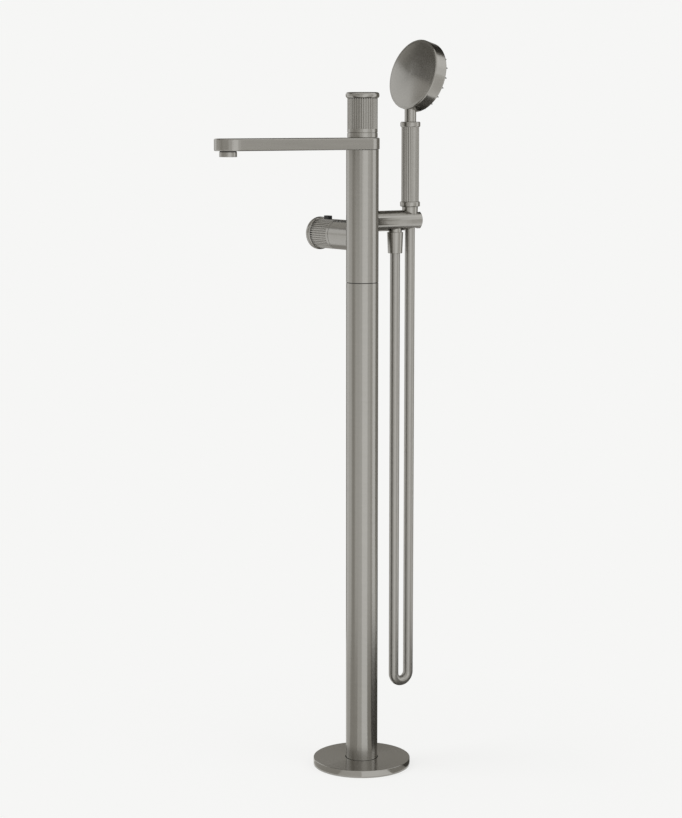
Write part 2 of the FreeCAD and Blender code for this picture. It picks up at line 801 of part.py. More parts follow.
def make_thermostat():
    """Thermostatic cartridge in the branch, its knob, safety button, spring and stop ring."""
    base = ("0", "0", "thermostat_height")
    body_start = "(nose_length - chamber_depth + fixed_fit)"
    body_end = "(branch_length - nut_thread_length)"
    gland_end, bore_end = make_cartridge("thermostat", chamber_radius, body_start, body_end, base, TO_MINUS_Y)
    knob_place = ("0", "-thermostat_reach", "thermostat_height")
    knob, web = make_knob("thermostat", "thermostat_grip", f"{gland_end} - thermostat_reach", knob_place,
                          TO_MINUS_Y)
    window = block("button_window", ("button_width + 2 * running_fit", "knob_wall + 4",
                                     "button_length + 2 * running_fit"),
                   ("-button_width / 2 - running_fit", f"{cavity_radius} - 2",
                    "button_place - button_length / 2 - running_fit"))
    pierced = less("thermostat_knob", knob, [window])
    place(pierced, knob_place, TO_MINUS_Y)
    keep(pierced, "thermostat_knob")
    make_spindle("thermostat", bore_end, f"(thermostat_reach + {web})", base, TO_MINUS_Y)
    stop_start = "(branch_length + nut_head_length)"
    ring("temperature_stop", "stop_ring_bore / 2", "stop_ring_diameter / 2", stop_start,
         f"{stop_start} + stop_ring_length", base, TO_MINUS_Y)
    make_button(knob_place)


def make_button(knob_place):
    """The safety button, which slides through the knob's wall, and the spring on the hub below it."""
    foot_top = f"(sqrt({cavity_radius}^2 - (button_width / 2 + button_foot_margin)^2) - slide_gap)"
    foot_bottom = f"({foot_top} - button_foot_height)"
    top = f"({knob_radius} + button_proud)"
    body = doc.addObject("PartDesign::Body", "safety_button")
    half_width = "button_width / 2"
    half_length = "button_length / 2"
    corner = "button_corner"
    stem = outline_on(body, "stem_outline", [
        (f"-{half_width} + {corner}", f"-{half_length}"),
        (f"{half_width} - {corner}", f"-{half_length}", corner),
        (half_width, f"-{half_length} + {corner}"),
        (half_width, f"{half_length} - {corner}", corner),
        (f"{half_width} - {corner}", half_length),
        (f"-{half_width} + {corner}", half_length, corner),
        (f"-{half_width}", f"{half_length} - {corner}"),
        (f"-{half_width}", f"-{half_length} + {corner}", corner),
    ], foot_bottom)
    padded(body, "stem", stem, f"{top} - {foot_bottom}")
    foot_x = "(button_width / 2 + button_foot_margin)"
    foot_y = "(button_length / 2 + button_foot_margin)"
    foot = outline_on(body, "foot_outline", [
        (f"-{foot_x}", f"-{foot_y}"),
        (foot_x, f"-{foot_y}"),
        (foot_x, foot_y),
        (f"-{foot_x}", foot_y),
    ], foot_bottom)
    padded(body, "foot", foot, "button_foot_height")
    rounded(body, "button_rounding", "button_edge", [top])
    place(body, ("0", f"{knob_place[1]} - button_place", "thermostat_height"))
    keep(body, "safety_button")
    hub_top = "(hub_diameter / 2)"
    ring("button_spring", "spring_diameter / 2 - spring_wire", "spring_diameter / 2",
         f"{hub_top} + running_fit", f"{foot_bottom} - running_fit",
         ("0", f"{knob_place[1]} - button_place", "thermostat_height"))


# spout and aerator

def stadium(start, end, half_width):
    """A long outline with one round end, from start to the centre of the round at end."""
    return [
        (start, f"-{half_width}"),
        (end, f"-{half_width}", half_width),
        (f"{end} + {half_width}", "0", half_width),
        (end, half_width),
        (start, half_width),
    ]


def make_spout():
    """Hollow slab spout that turns on the neck, its aerator, slide ring and collar."""
    body = doc.addObject("PartDesign::Body", "spout")
    *side, last = stadium("0", "spout_length", spout_radius)
    outline = [*side, (*last, spout_radius), (f"-{spout_radius}", "0", spout_radius)]
    slab = outline_on(body, "slab_outline", outline, "spout_height")
    padded(body, "slab", slab, "spout_thickness")
    rounded(body, "slab_rounding", "spout_edge", ["spout_height", spout_top])
    channel = outline_on(body, "channel_outline",
                         stadium("channel_start", "spout_length", f"({spout_radius} - spout_side_wall)"),
                         "spout_height + spout_wall")
    pocketed(body, "channel", channel, "spout_thickness - 2 * spout_wall")
    hub = circle_on(body, "hub_circle", "0", "0", f"{neck_radius} + running_fit")
    pocketed(body, "hub_bore", hub)
    recess = circle_on(body, "recess_circle", "0", "0", "slide_ring_diameter / 2 + slide_gap", "spout_height")
    pocketed(body, "slide_recess", recess, "slide_ring_thickness")
    outlet = circle_on(body, "outlet_circle", "aerator_offset", "0", "aerator_thread / 2 + fixed_fit",
                       "spout_height")
    pocketed(body, "outlet", outlet, "spout_wall + 1")
    keep(body, "spout")
    ring("slide_ring", f"{neck_radius} + fixed_fit", "slide_ring_diameter / 2", body_top,
         f"{body_top} + slide_ring_thickness")

    aerator = ("aerator_offset", "0", "spout_height")
    outer = "(aerator_diameter / 2)"
    turned("aerator_housing", [
        ("aerator_bore / 2", "-aerator_drop"),
        (f"{outer} - aerator_edge", "-aerator_drop"),
        (outer, "-aerator_drop + aerator_edge"),
        (outer, "-aerator_groove"),
        (f"{outer} - aerator_groove_depth", "-aerator_groove"),
        (f"{outer} - aerator_groove_depth", "0"),
        ("aerator_thread / 2", "0"),
        ("aerator_thread / 2", "aerator_thread_length"),
        ("aerator_bore / 2", "aerator_thread_length"),
    ], aerator)
    ring("aerator_insert", "0", "aerator_bore / 2 - fixed_fit", "-aerator_drop + aerator_recess",
         "-aerator_drop + aerator_recess + aerator_insert_height", aerator)
    turned("knob_collar", [
        (f"{neck_radius} + fixed_fit", collar_bottom),
        ("collar_diameter / 2 - collar_edge", collar_bottom),
        ("collar_diameter / 2", f"{collar_bottom} + collar_edge"),
        ("collar_diameter / 2", f"{collar_top} - collar_edge"),
        ("collar_diameter / 2 - collar_edge", collar_top),
        (f"{neck_radius} + fixed_fit", collar_top),
    ])


# handset holder and hose

def nut_radius(height):
    """The cone nut's outside radius at a height above its small end."""
    return f"(nut_small / 2 + ({height}) * (nut_large - nut_small) / 2 / nut_length)"


def make_arm():
    """Holder arm with its stud, water way, outlet socket, conical bore and slot, and the outlet nipple."""
    radius = "(arm_diameter / 2)"
    barrel = turned_body("arm_turning", [
        ("0", "0"),
        (radius, "0"),
        (radius, "arm_reach - arm_edge"),
        (f"{radius} - arm_edge", "arm_reach"),
        ("0", "arm_reach"),
    ], ("0", "0", "arm_height"), TO_MINUS_X)
    saddle = rod("arm_saddle", f"{column_radius} + running_fit", "3 * arm_diameter",
                 ("0", "0", "arm_height - 1.5 * arm_diameter"))
    stud = rod("arm_stud_rod", "arm_stud / 2", "arm_stud_depth + 5",
               (f"-{column_radius} + arm_stud_depth - fixed_fit", "0", "arm_height"), TO_MINUS_X)
    blank = joined("arm_blank", [less("arm_barrel", barrel, [saddle]), stud])
    cone = doc.addObject("Part::Cone", "holder_bore")
    low = f"(arm_height - {radius} - 1)"
    high = f"(arm_height + {radius} + 1)"
    for side, height in (("Radius1", low), ("Radius2", high)):
        cone.setExpression(side, bound(nut_radius(f"{height} - {handset_nut_height}") + " + cone_fit"))
    cone.setExpression("Height", bound(f"{high} - {low}"))
    place(cone, ("-holder_offset", "0", low))
    tools = [
        cone,
        block("hose_slot", ("arm_reach - holder_offset + 1", "slot_width", "arm_diameter + 2"),
              ("-arm_reach - 1", "-slot_width / 2", low)),
        rod("arm_water_way", "arm_bore / 2", f"outlet_offset - {column_radius} + arm_stud_depth + 1",
            (f"-{column_radius} + arm_stud_depth + 1", "0", "arm_height"), TO_MINUS_X),
        rod("nipple_seat", "nipple_diameter / 2 + fixed_fit", radius,
            ("-outlet_offset", "0", f"arm_height - {radius} - nipple_socket + 2")),
        rod("nipple_way", "nipple_bore / 2", f"{radius} + 1",
            ("-outlet_offset", "0", f"arm_height - {radius}")),
    ]
    keep(less("holder_arm", blank, tools), "holder_arm")
    ring("outlet_nipple", "nipple_bore / 2", "nipple_diameter / 2", f"outlet_nut_height + {nipple_gap}",
         f"arm_height - nipple_socket + 2", ("-outlet_offset", "0", "0"))


def make_hose_end(names, offset, height):
    """Cone nut, hose ferrule and washer at one end of the hose, all with their small ends down."""
    base = (f"-{offset}", "0", height)
    nut, ferrule, washer = names
    bore = f"({ferrule_radius} + running_fit)"
    turned(nut, [
        (bore, "0"),
        ("nut_small / 2 - nut_edge", "0"),
        (nut_radius("nut_edge"), "nut_edge"),
        (nut_radius("nut_length - nut_edge"), "nut_length - nut_edge"),
        ("nut_large / 2 - nut_edge", "nut_length"),
        (nut_bore_radius, "nut_length"),
        (nut_bore_radius, "nut_shoulder"),
        (bore, "nut_shoulder"),
    ], base)
    collar = f"({nut_bore_radius} - slide_gap)"
    turned(ferrule, [
        ("ferrule_bore / 2", "0"),
        (ferrule_radius, "0"),
        (ferrule_radius, "nut_shoulder + running_fit"),
        (collar, "nut_shoulder + running_fit"),
        (collar, "nut_shoulder + ferrule_collar"),
        ("ferrule_bore / 2", "nut_shoulder + ferrule_collar"),
    ], base)
    ring(washer, "ferrule_bore / 2", collar, "nut_shoulder + ferrule_collar", nipple_gap, base)


def hose_route():
    """The hose's corners: down from the outlet nut, round a U made of four turns of 45 degrees, and up."""
    strand = amount("outlet_offset")
    half = amount("(holder_offset - outlet_offset) / 2")
    centre = FreeCAD.Vector(-strand - half, 0, amount("hose_bottom") + half)
    reach = half / math.cos(math.radians(22.5))
    corners = [FreeCAD.Vector(-strand, 0, amount("outlet_nut_height"))]
    for turn in range(4):
        angle = math.radians(-22.5 - 45 * turn)
        corners.append(centre + FreeCAD.Vector(reach * math.cos(angle), 0, reach * math.sin(angle)))
    corners.append(FreeCAD.Vector(-amount("holder_offset"), 0, amount(handset_nut_height)))
    return corners


def rounded_path(corners):
    """Straight runs joined by tangent arcs, each as large as its two runs allow, with the radii."""
    edges, radii = [], []
    start = corners[0]
    for before, corner, after in zip(corners, corners[1:], corners[2:]):
        come, leave = (corner - before), (after - corner)
        half_turn = come.getAngle(leave) / 2
        trim = 0.45 * min(come.Length, leave.Length)
        come.normalize()
        leave.normalize()
        first, last = corner - come * trim, corner + leave * trim
        radius = trim / math.tan(half_turn)
        inward = (leave - come).normalize()
        middle = corner + inward * (radius / math.cos(half_turn) - radius)
        edges += [Part.LineSegment(start, first).toShape(), Part.Arc(first, middle, last).toShape()]
        radii.append(radius)
        start = last
    edges.append(Part.LineSegment(start, corners[-1]).toShape())
    return Part.Wire(edges), radii


def make_hose():
    """The free hose, swept along its route."""
    path, radii = rounded_path(hose_route())
    radius = amount(hose_radius)
    start = path.Vertexes[0].Point
    section = Part.Wire(Part.makeCircle(radius, start, FreeCAD.Vector(0, 0, -1)))
    hose = doc.addObject("Part::Feature", "hose")
    hose.Shape = path.makePipeShell([section], True, False)
    print("hose length", round(path.Length, 1), "radii", [round(value, 1) for value in radii])
    plain = math.pi * radius ** 2 * path.Length
    print("hose volume against section times length", round(hose.Shape.Volume / plain, 4))
    keep(hose, "hose")


# handset

def head_direction():
    """How the head's axis is turned from +Z: tilted back, and turned a little on the handset's axis."""
    tilt = FreeCAD.Rotation(FreeCAD.Vector(0, -1, 0), amount("90 + head_tilt"))
    return FreeCAD.Rotation(FreeCAD.Vector(0, 0, 1), amount("head_turn")) * tilt


def beside_handset(distance, height):
    """A place on the line that the head points along, at a distance from the handset's axis."""
    return (f"-holder_offset + ({distance}) * cos(head_turn)", f"({distance}) * sin(head_turn)", height)


def make_grip():
    """Core tube with its connector, the two rings and the fluted grip."""
    at_axis = ("-holder_offset", "0", "0")
    core_radius = "(neck_tube / 2)"
    core = turned_body("core_turning", [
        ("neck_bore / 2", f"{handset_nut_height} + {nipple_gap}"),
        ("nipple_diameter / 2", f"{handset_nut_height} + {nipple_gap}"),
        ("nipple_diameter / 2", "handset_height"),
        (core_radius, "handset_height"),
        (core_radius, "head_height - head_diameter / 2 + head_thickness"),
        ("neck_bore / 2", "head_height - head_diameter / 2 + head_thickness"),
    ], at_axis)
    behind = beside_handset("2 * head_thickness * cos(head_tilt) - head_back",
                            "head_height + 2 * head_thickness * sin(head_tilt)")
    inside = rod("head_inside", head_inner, "4 * head_thickness", behind, head_direction())
    keep(less("handset_core", core, [inside]), "handset_core")
    for name, low in (("lower", "handset_height"), ("upper", grip_top)):
        outer = "ring_diameter / 2"
        turned(f"grip_ring_{name}", [
            (f"{core_radius} + fixed_fit", "0"),
            (f"{outer} - ring_edge", "0", "ring_edge"),
            (outer, "ring_edge"),
            (outer, "ring_length - ring_edge", "ring_edge"),
            (f"{outer} - ring_edge", "ring_length"),
            (f"{core_radius} + fixed_fit", "ring_length"),
        ], ("-holder_offset", "0", low))
    grip = turned_body("grip", [
        ("grip_bore / 2", "0"),
        ("grip_diameter / 2", "0"),
        ("grip_diameter / 2", "grip_length"),
        ("grip_bore / 2", "grip_length"),
    ], ("-holder_offset", "0", grip_bottom))
    fluted(grip, "grip", "grip_diameter / 2", "grip_flute_width", "grip_flute_floor", "grip_flute_depth",
           "-1", "grip_length + 2", "grip_flute_count")
    keep(grip, "grip")


def nozzle_rings(body, name, radius, low, length, taper=None):
    """Holes or nozzles on rings about the head's axis, more on each ring further out."""
    for index in range(int(amount("nozzle_rings"))):
        across = f"{head_inner} - nozzle_margin - (nozzle_rings - 1 - {index}) * nozzle_ring_step"
        sketch = circle_on(body, f"{name}_circle_{index}", across, "0", radius, low)
        if taper is None:
            feature = pocketed(body, f"{name}_hole_{index}", sketch)
        else:
            feature = padded(body, f"{name}_nozzle_{index}", sketch, length, taper)
        around(body, f"{name}_ring_{index}", feature, sketch, f"{index + 1} * nozzles_per_ring")


def make_head():
    """Round head: shell on the neck, gasket, nozzle mat and spray plate."""
    base = beside_handset("-head_back", "head_height")
    turn = head_direction()
    outer = "(head_diameter / 2)"
    gasket_back = f"({mat_back} - gasket_thickness)"
    pocket = f"({head_inner} - head_ledge)"
    inside = "(dome_radius - head_wall)"
    shell = turned_body("shell_turning", [
        ("0", "-head_dome", "dome_radius"),
        (f"{outer} - head_edge", "0", "head_edge"),
        (outer, "head_edge"),
        (outer, "head_thickness - head_edge", "head_edge"),
        (f"{outer} - head_edge", "head_thickness"),
        (head_inner, "head_thickness"),
        (head_inner, gasket_back),
        (pocket, gasket_back),
        (pocket, f"dome_radius - head_dome - sqrt({inside} ^ 2 - {pocket} ^ 2)", f"-{inside}"),
        ("0", "head_wall - head_dome"),
    ], base, turn)
    neck_hole = rod("neck_hole", "neck_tube / 2 + fixed_fit", "head_diameter / 2 + neck_entry",
                    ("-holder_offset", "0", "head_height - head_diameter"))
    keep(less("head_shell", shell, [neck_hole]), "head_shell")
    ring("head_gasket", f"{head_inner} - head_ledge", f"{head_inner} - fixed_fit", gasket_back, mat_back,
         base, turn)
    mat = turned_body("nozzle_mat", [
        ("0", mat_back),
        (f"{head_inner} - fixed_fit", mat_back),
        (f"{head_inner} - fixed_fit", f"{mat_back} + mat_thickness"),
        ("0", f"{mat_back} + mat_thickness"),
    ], base, turn)
    nozzle_rings(mat, "mat", "nozzle_diameter / 2", f"{mat_back} + mat_thickness",
                 "spray_plate_thickness + nozzle_proud", "nozzle_taper")
    keep(mat, "nozzle_mat")
    plate = turned_body("spray_plate", [
        ("0", f"{mat_back} + mat_thickness"),
        (f"{head_inner} - fixed_fit", f"{mat_back} + mat_thickness"),
        (f"{head_inner} - fixed_fit", "head_thickness"),
        ("0", "head_thickness"),
    ], base, turn)
    nozzle_rings(plate, "plate", "nozzle_diameter / 2 + running_fit", "0", None)
    keep(plate, "spray_plate")


make_foot()
make_inlets()
make_joint()
make_body()
make_sleeve()
make_spout()
make_flow_control()
make_thermostat()
make_arm()
make_hose_end(("outlet_nut", "outlet_ferrule", "outlet_washer"), "outlet_offset", "outlet_nut_height")
make_hose_end(("handset_nut", "hose_tail", "handset_washer"), "holder_offset", handset_nut_height)
make_hose()
make_grip()
make_head()
doc.recompute()

for item in doc.Objects:
    if "Invalid" in item.State or "Error" in item.State:
        raise RuntimeError(f"{item.Label} did not recompute")
for item in pieces:
    if item.Shape.isNull() or not item.Shape.isValid() or not item.Shape.Solids:
        raise RuntimeError(f"{item.Label} has no sound shape")

os.makedirs("parts", exist_ok=True)
for item in pieces:
    item.Shape.exportStep(f"parts/{item.Label}.step")
print(len(pieces), "pieces written")
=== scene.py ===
import logging
import math
from dataclasses import dataclass
from enum import Enum
from typing import Callable, Iterable, Sequence

import bmesh
import bpy
from mathutils import Euler, Matrix, Vector


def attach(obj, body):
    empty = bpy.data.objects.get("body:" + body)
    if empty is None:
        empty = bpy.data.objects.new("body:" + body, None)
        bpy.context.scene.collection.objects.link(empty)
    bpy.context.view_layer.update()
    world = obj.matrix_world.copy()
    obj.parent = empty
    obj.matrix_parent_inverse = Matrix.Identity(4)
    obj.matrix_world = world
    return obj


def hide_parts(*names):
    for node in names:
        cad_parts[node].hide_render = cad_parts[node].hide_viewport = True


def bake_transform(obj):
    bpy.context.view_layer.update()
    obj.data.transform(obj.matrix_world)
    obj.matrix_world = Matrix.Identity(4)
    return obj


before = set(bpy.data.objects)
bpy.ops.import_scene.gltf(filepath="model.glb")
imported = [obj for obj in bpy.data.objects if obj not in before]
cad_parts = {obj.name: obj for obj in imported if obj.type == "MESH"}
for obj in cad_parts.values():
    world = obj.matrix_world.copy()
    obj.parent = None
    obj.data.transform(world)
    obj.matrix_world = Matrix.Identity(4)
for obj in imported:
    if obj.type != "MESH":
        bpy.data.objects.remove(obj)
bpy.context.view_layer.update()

# The look of a freestanding bath mixer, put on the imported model. The origin is on the floor under
# the column, +Z is up, +X runs along the spout, -X along the holder arm and -Y along the
# thermostat knob. Sizes are in millimetres and meshes in metres.

MM = 0.001
GRAIN = "grain"
SHARP_ANGLE = math.radians(32)
# Points nearer than this, in metres, become one: in a repeated piece, and in a CAD node's copy.
WELD = 0.00001
CAD_WELD = 0.000002
log = logging.getLogger("bath_mixer")

Corner = tuple[float, ...]
Pair = tuple[float, float]
Triple = tuple[float, float, float]
Row = list[Vector]
Piece = bpy.types.Object
Material = bpy.types.Material
Tree = bpy.types.NodeTree
Node = bpy.types.Node
Socket = bpy.types.NodeSocket
Fill = Callable[[Tree, Node, Node], None]


class Slot(Enum):
    """The record's material slots."""

    NICKEL = "brushed_nickel"
    STEEL = "stainless_steel"
    BRASS = "brass"
    COPPER = "copper"
    RUBBER = "rubber"
    WHITE_PLASTIC = "white_plastic"
    BLACK_PLASTIC = "black_plastic"
    SILICONE = "silicone"
    HOSE_SKIN = "hose_skin"


@dataclass(frozen=True)
class Axis:
    """An axis that pieces are turned on: its origin, and local +Z's turn onto it in degrees."""

    name: str
    origin: Triple = (0.0, 0.0, 0.0)
    turn: Triple = (0.0, 0.0, 0.0)

    def euler(self) -> Euler:
        """The turn as Blender's angles."""
        return Euler([math.radians(angle) for angle in self.turn])

    def matrix(self) -> Matrix:
        """The move from the axis's own frame to the row frame."""
        return Matrix.Translation(Vector(self.origin) * MM) @ self.euler().to_matrix().to_4x4()


COLUMN = Axis("column")
THERMOSTAT = Axis("thermostat", (0.0, 0.0, 838.6), (90.0, 0.0, 0.0))
ARM = Axis("arm", (0.0, 0.0, 861.0), (0.0, -90.0, 0.0))
OUTLET = Axis("outlet", (-62.5, 0.0, 0.0))
HANDSET = Axis("handset", (-91.0, 0.0, 0.0))
AERATOR = Axis("aerator", (241.0, 0.0, 971.0))
HEAD = Axis("head", (-94.696, -0.174, 1086.25), (0.0, -105.0, 2.7))


# Meshes

def on_circle(radius: float, angle: float) -> Pair:
    """The x and y of a circle's point at an angle in radians."""
    return radius * math.cos(angle), radius * math.sin(angle)


def eased(outline: Sequence[Corner], closed: bool, steps: int = 5,
          hold: float = 0.15) -> list[Pair]:
    """Round an outline's corners, and keep the sides between them straight in shading.

    Args:
        outline: corners as (across, up) or (across, up, rounding), in millimetres.
        closed: whether the last corner joins the first.
        steps: how many sides make up each rounding.
        hold: how far from a rounding the point stands that keeps the side flat.

    Returns:
        The points of the eased outline.
    """
    points: list[Pair] = []
    count = len(outline)
    for index, corner in enumerate(outline):
        here = Vector(corner[:2])
        rounding = corner[2] if len(corner) > 2 else 0.0
        if rounding == 0.0 or (not closed and index in (0, count - 1)):
            points.append((here.x, here.y))
            continue
        come = (Vector(outline[index - 1][:2]) - here).normalized()
        leave = (Vector(outline[(index + 1) % count][:2]) - here).normalized()
        half = come.angle(leave) / 2
        centre = here + (come + leave).normalized() * (rounding / math.sin(half))
        first = here + come * (rounding / math.tan(half))
        last = here + leave * (rounding / math.tan(half))
        spread = math.pi - 2 * half
        points.append(tuple(first + come * hold))
        for step in range(steps + 1):
            share = step / steps
            offset = ((first - centre) * math.sin((1 - share) * spread)
                      + (last - centre) * math.sin(share * spread)) / math.sin(spread)
            points.append(tuple(centre + offset))
        points.append(tuple(last + leave * hold))
    return points


def placed(name: str, data: bpy.types.ID) -> Piece:
    """Put a mesh, curve, camera or lamp in the scene as one object.

    Args:
        name: the new object's name.
        data: what the object holds.

    Returns:
        The new object.
    """
    item = bpy.data.objects.new(name, data)
    bpy.context.scene.collection.objects.link(item)
    return item


def face_outwards(mesh: bpy.types.Mesh) -> None:
    """Turn a welded mesh's faces to the outside.

    Args:
        mesh: the mesh, changed in place.
    """
    work = bmesh.new()
    work.from_mesh(mesh)
    bmesh.ops.recalc_face_normals(work, faces=work.faces)
    work.to_mesh(mesh)
    work.free()


def smooth(mesh: bpy.types.Mesh) -> None:
    """Shade a mesh smooth and keep its sharp edges sharp."""
    mesh.shade_smooth()
    mesh.set_sharp_from_angle(angle=SHARP_ANGLE)


def loft(name: str, rows: Sequence[Row], around: bool, wrap: bool) -> Piece:
    """Join rows of points into one skin, with a map whose U runs from row to row.

    Args:
        name: the new object's name.
        rows: rows of the same number of points, in metres; a row of one point is a pole.
        around: whether each row's last point joins its first.
        wrap: whether the last row joins the first.

    Returns:
        The new object, smooth, with sharp edges kept sharp.
    """
    starts, points = [], []
    for row in rows:
        starts.append(len(points))
        points.extend(row)
    spans = max(len(row) for row in rows) - (0 if around else 1)
    along = [0.0]
    for before, after in zip(rows, list(rows[1:]) + [rows[0]]):
        along.append(along[-1] + (after[0] - before[0]).length)
    girth = max(sum((after - before).length for before, after in zip(row, row[1:]))
                for row in rows)
    faces, corners = [], []
    for index in range(len(rows) if wrap else len(rows) - 1):
        following = (index + 1) % len(rows)
        low, high = rows[index], rows[following]
        u_low, u_high = along[index], along[index + 1]
        for place in range(spans):
            ahead = place + 1
            v_now, v_next = place / spans * girth, ahead / spans * girth
            v_middle = (v_now + v_next) / 2
            if len(low) == 1:
                loop = [(starts[index], u_low, v_middle)]
            else:
                loop = [(starts[index] + place, u_low, v_now),
                        (starts[index] + ahead % len(low), u_low, v_next)]
            if len(high) == 1:
                loop += [(starts[following], u_high, v_middle)]
            else:
                loop += [(starts[following] + ahead % len(high), u_high, v_next),
                         (starts[following] + place, u_high, v_now)]
            faces.append([entry[0] for entry in loop])
            corners.extend((entry[1], entry[2]) for entry in loop)
    mesh = bpy.data.meshes.new(name)
    mesh.from_pydata([tuple(point) for point in points], [], faces)
    layer = mesh.uv_layers.new(name=GRAIN)
    for entry, corner in zip(layer.data, corners):
        entry.uv = corner
    face_outwards(mesh)
    smooth(mesh)
    return placed(name, mesh)


def circle(radius: float, height: float, segments: int) -> Row:
    """A level ring of points round local Z, or one point on it.

    Args:
        radius: the ring's radius in millimetres; a radius of 0 gives the one point.
        height: its height in millimetres.
        segments: how many points the ring has.

    Returns:
        The points, in metres.
    """
    if radius == 0.0:
        return [Vector((0.0, 0.0, height * MM))]
    step = 2 * math.pi / segments
    return [Vector((*on_circle(radius, i * step), height)) * MM for i in range(segments)]


def turned(name: str, outline: Sequence[Corner], axis: Axis, segments: int = 128,
           steps: int = 5) -> Piece:
    """Turn an outline on an axis.

    Args:
        name: the new object's name.
        outline: corners as (radius, height) or (radius, height, rounding) along the axis.
        axis: the axis it is turned on.
        segments: sides round the axis.
        steps: sides in each rounding.

    Returns:
        The closed solid's skin as an object in the row frame.
    """
    closed = outline[0][0] > 0 or outline[-1][0] > 0
    rows = [circle(radius, height, segments) for radius, height in eased(outline, closed, steps)]
    piece = loft(name, rows, around=True, wrap=closed)
    piece.data.transform(axis.matrix())
    return piece


def plain_ring(name: str, inner: float, outer: float, low: float, high: float, axis: Axis,
               segments: int) -> Piece:
    """A square-edged ring.

    Args:
        name: the new object's name.
        inner: its inner radius.
        outer: its outer radius.
        low: where it starts along the axis.
        high: where it ends along the axis.
        axis: the axis it is turned on.
        segments: sides round the axis.

    Returns:
        The ring as an object in the row frame.
    """
    outline = [(inner, low), (outer, low), (outer, high), (inner, high)]
    return turned(name, outline, axis, segments)


def fluted_sector(name: str, rows: Sequence[Triple], columns: Sequence[Pair]) -> Piece:
    """One rib of a fluted wall to the next, which the repeating tree sets round its axis.

    Args:
        name: the new object's name.
        rows: the wall's outline as (radius, height, share of the flute's depth).
        columns: the flute's section as (angle in degrees, depth).

    Returns:
        The sector's skin, open at its two sides.
    """
    points = []
    for radius, height, share in rows:
        row = []
        for angle, depth in columns:
            x, y = on_circle(radius - depth * share, math.radians(angle))
            row.append(Vector((x, y, height)) * MM)
        points.append(row)
    return loft(name, points, around=False, wrap=True)


def make_plain(piece: Piece) -> None:
    """Turn what the modifiers make into the piece's own mesh, and take the modifiers off.

    Args:
        piece: the object, changed in place.
    """
    bpy.context.view_layer.update()
    depsgraph = bpy.context.evaluated_depsgraph_get()
    mesh = bpy.data.meshes.new_from_object(
        piece.evaluated_get(depsgraph), preserve_all_data_layers=True, depsgraph=depsgraph)
    piece.modifiers.clear()
    piece.data = mesh


# Geometry Nodes

def repeat_tree() -> Tree:
    """The tree that repeats a sector or a small piece evenly round local Z and welds the seams.

    Returns:
        The tree, built once.
    """
    known = bpy.data.node_groups.get("repeat_round_axis")
    if known:
        return known
    tree = bpy.data.node_groups.new("repeat_round_axis", "GeometryNodeTree")
    for label, kind in (("Geometry", "Geometry"), ("Count", "Int"), ("Weld Distance", "Float"),
                        ("Finish", "Material")):
        tree.interface.new_socket(label, in_out="INPUT", socket_type=f"NodeSocket{kind}")
    tree.interface.new_socket("Geometry", in_out="OUTPUT", socket_type="NodeSocketGeometry")
    make, join = tree.nodes.new, tree.links.new
    given, result = make("NodeGroupInput"), make("NodeGroupOutput")
    line = make("GeometryNodeMeshLine")
    line.inputs["Offset"].default_value = (0.0, 0.0, 0.0)
    step, angle = make("ShaderNodeMath"), make("ShaderNodeMath")
    step.operation, angle.operation = "DIVIDE", "MULTIPLY"
    step.inputs[0].default_value = 2 * math.pi
    turn, rotation = make("ShaderNodeCombineXYZ"), make("FunctionNodeEulerToRotation")
    instances, realize = make("GeometryNodeInstanceOnPoints"), make("GeometryNodeRealizeInstances")
    weld, dress = make("GeometryNodeMergeByDistance"), make("GeometryNodeSetMaterial")
    join(given.outputs["Count"], line.inputs["Count"])
    join(given.outputs["Count"], step.inputs[1])
    join(step.outputs[0], angle.inputs[0])
    join(make("GeometryNodeInputIndex").outputs[0], angle.inputs[1])
    join(angle.outputs[0], turn.inputs["Z"])
    join(turn.outputs[0], rotation.inputs[0])
    join(line.outputs[0], instances.inputs["Points"])
    join(given.outputs["Geometry"], instances.inputs["Instance"])
    join(rotation.outputs[0], instances.inputs["Rotation"])
    join(instances.outputs[0], realize.inputs[0])
    join(realize.outputs[0], weld.inputs["Geometry"])
    join(given.outputs["Weld Distance"], weld.inputs["Distance"])
    join(weld.outputs[0], dress.inputs["Geometry"])
    join(given.outputs["Finish"], dress.inputs["Material"])
    join(dress.outputs[0], result.inputs[0])
    return tree


def repeated(piece: Piece, count: int, finish: Material, axis: Axis) -> Piece:
    """Repeat a piece round its local Z with the tree, then put it on its axis.

    Args:
        piece: the sector or small piece, in the axis's own frame.
        count: how many times it stands round the axis.
        finish: the material that the tree sets.
        axis: where the result goes.

    Returns:
        The same object with a plain mesh in the row frame.
    """
    modifier = piece.modifiers.new("repeat", "NODES")
    modifier.node_group = repeat_tree()
    wanted = {"Count": count, "Weld Distance": WELD, "Finish": finish}
    for item in modifier.node_group.interface.items_tree:
        if item.in_out == "INPUT" and item.name in wanted:
            modifier[item.identifier] = wanted[item.name]
    make_plain(piece)
    face_outwards(piece.data)
    piece.data.transform(axis.matrix())
    smooth(piece.data)
    return piece


# Shader groups and finishes
#
# A finish's marks are fine lines and broad clouds, mixed by LINE_SHARE. TONE_REACH says how far a
# finish's tone moves its colour to each side.

LINE_DETAIL, CLOUD_DETAIL, SPECKLE_DETAIL = 3.0, 1.0, 2.0
NOISE_ROUGHNESS = 0.6
CLOUD_SCALE, SPECKLE_CLOUD_SCALE = 0.06, 0.05
DRAWN_STRETCH = 12.0
LINE_SHARE = 0.65
TONE_REACH = 2.2
COAT_ROUGHNESS = 0.15
SMALLEST_RADIUS = 0.00001


